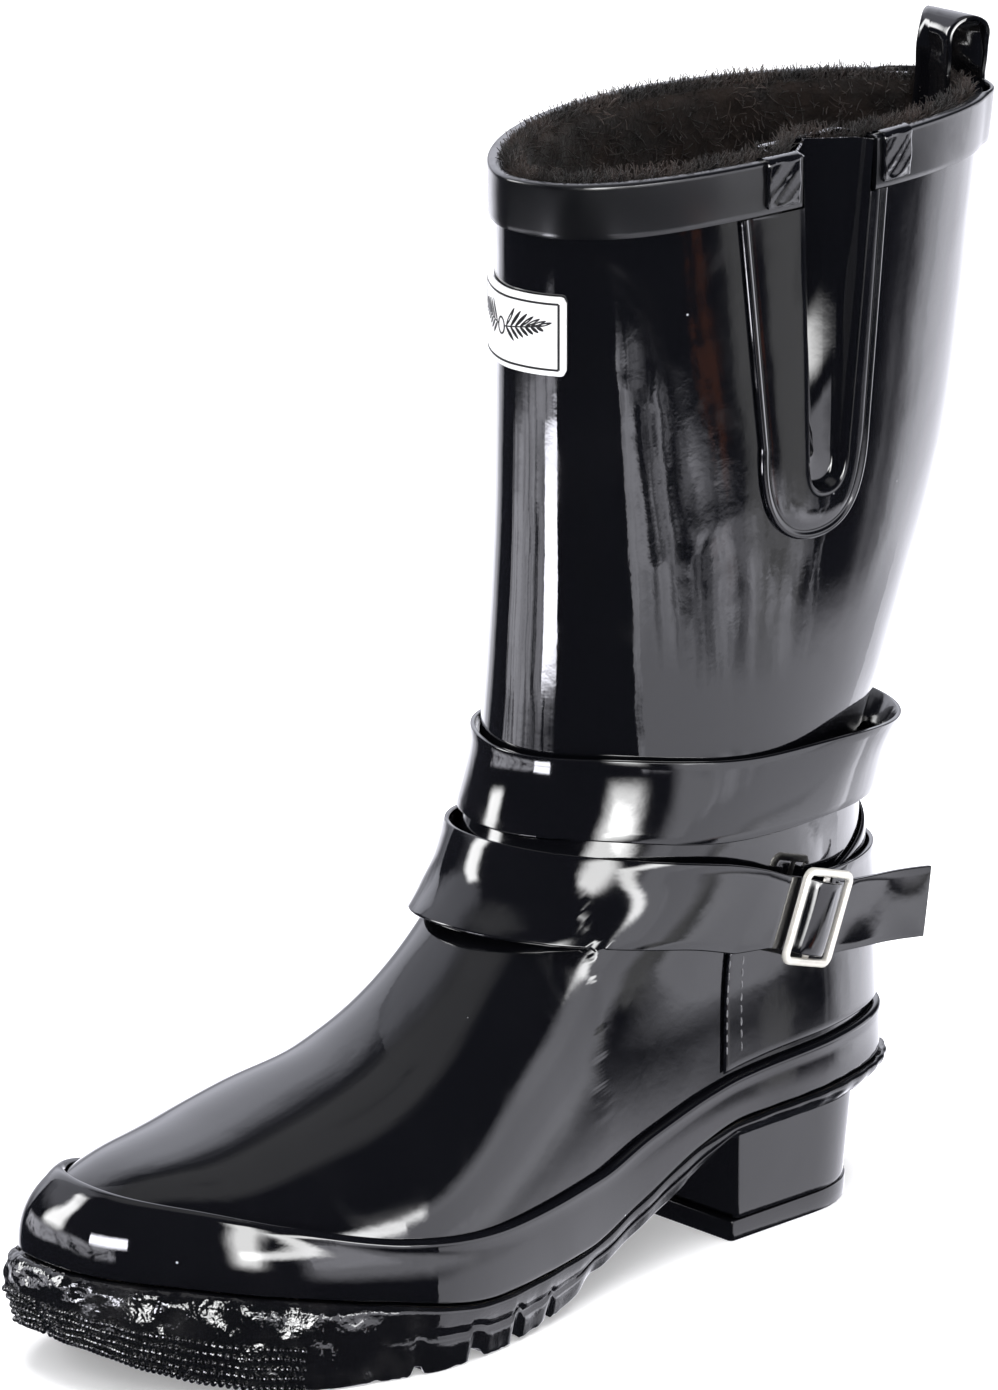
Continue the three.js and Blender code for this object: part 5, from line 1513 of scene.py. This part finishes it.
glow_strip("wall_right", "wall_glow", 1.2, (72, 172), 0.33, -0.02, 0.085, torn=0.25)
glow_strip("wall_low", "low_glow", 1.1, (85, 200), 0.33, -0.2, -0.03, torn=0.1)
glow_strip("cloud_right", "cloud_glow", 2.2, (70, 138), 0.47, -0.035, 0.065, torn=0.5)
glow_strip("cloud_left", "pane_glow", 2.4, (-55, 12), 0.45, -0.02, 0.08, torn=0.48)
glow_strip("toe_window", "toe_glow", 15, (-2, 13), 0.34, 0.045, 0.095, torn=0.1)

# %% [markdown]
# The room needs the bearing and the height of each reflected direction. A bearing runs from
# -90 to 270, so that the seam, where noise would tear a window, lies on the inner side.

# %% The room in the world shader
world = bpy.data.worlds.new("studio")
bpy.context.scene.world = world
world.use_nodes = True
room = world.node_tree
room.nodes.clear()
ALL_ROUND = (-95, 275)
PALE, COOL, NIGHT, EMBER = (0.97, 0.97, 1.05), (0.95, 0.96, 1.06), (0.85, 0.9, 1.2), (1, 0.3, 0.1)
way = add_node(room, "ShaderNodeTexCoord").outputs["Generated"]
parts = add_node(room, "ShaderNodeSeparateXYZ", way).outputs
backwards = maths(room, "MULTIPLY", parts["Y"], -1.0)
turns = maths(room, "MULTIPLY", maths(room, "ARCTAN2", parts["X"], backwards), 1 / TURN)
wrapped = maths(room, "FRACT", maths(room, "ADD", turns, 0.25))
bearing = maths(room, "SUBTRACT", maths(room, "MULTIPLY", wrapped, 360.0), 90.0)
height = maths(room, "MULTIPLY", maths(room, "ARCSINE", parts["Z"]), 180 / math.pi)


def blotchy(value, scale, size):
    """A bearing or height pushed about by noise, so that edges drawn with it are uneven."""
    push = maths(room, "SUBTRACT", noise(room, way, scale, 4, 0.62, 0.5), 0.5)
    return maths(room, "ADD", value, maths(room, "MULTIPLY", push, size))


def window(bearings, heights, strength, soft=2.0, mottle=0.0, scale=9.0, colour=(1, 1, 1)):
    """A glowing rectangle in the room, from one bearing and height to another."""
    flat = blotchy(bearing, scale + 1.7, mottle) if mottle else bearing
    tall = blotchy(height, scale, mottle) if mottle else height
    mask = None
    for value, (low, high) in ((flat, bearings), (tall, heights)):
        for edge, ends in ((low, (0, 1)), (high, (1, 0))):
            part = ramp(room, value, edge - soft, edge + soft, *ends)
            mask = part if mask is None else maths(room, "MULTIPLY", mask, part)
    return vectors(room, "SCALE", colour, Scale=maths(room, "MULTIPLY", mask, strength))


windows = [
    window(ALL_ROUND, (-95, 95), 0.03, colour=NIGHT),
    window((160, 262), (-32, -8), 1.7, soft=11, mottle=16, scale=6, colour=PALE),
    window((88, 176), (-13.5, 9), 1.35, soft=4, mottle=3, colour=PALE),
    window((116, 168), (-33, -23.4), 1.3, soft=1.2, mottle=2, colour=PALE),
    window((120, 133), (-23.5, -14), 0.5, soft=3, mottle=10, scale=7),
    window((110, 117), (-23, -21.6), 0.3, soft=1, mottle=8, scale=12, colour=EMBER),
    window((56, 74), (-5, 30), 9, soft=5),
    window((-52, -37), (6, 40), 10, soft=4),
    window((60, 104), (2, 9), 9, soft=2.5),
    window((205, 276), (4, 52), 1.1, soft=12, mottle=14, colour=COOL),
    window((-95, -40), (24, 62), 0.7, soft=10, mottle=14, colour=COOL),
    window(ALL_ROUND, (66, 92), 0.3, soft=8, mottle=12),
]
glow = windows[0]
for light in windows[1:]:
    glow = vectors(room, "ADD", glow, light)
seen = add_node(room, "ShaderNodeBackground", Color=(1, 1, 1, 1))
gloss = add_node(room, "ShaderNodeBackground", Color=glow)
ambient = add_node(room, "ShaderNodeBackground", Color=(0.5, 0.5, 0.52, 1))
rays = add_node(room, "ShaderNodeLightPath").outputs
first = add_node(room, "ShaderNodeMixShader", rays["Is Glossy Ray"], ambient.outputs[0],
                 gloss.outputs[0])
second = add_node(room, "ShaderNodeMixShader", rays["Is Camera Ray"], first.outputs[0],
                  seen.outputs[0])
add_node(room, "ShaderNodeOutputWorld", second.outputs[0])
bpy.context.scene.view_settings.view_transform = "Standard"
print("windows in the room:", len(windows))
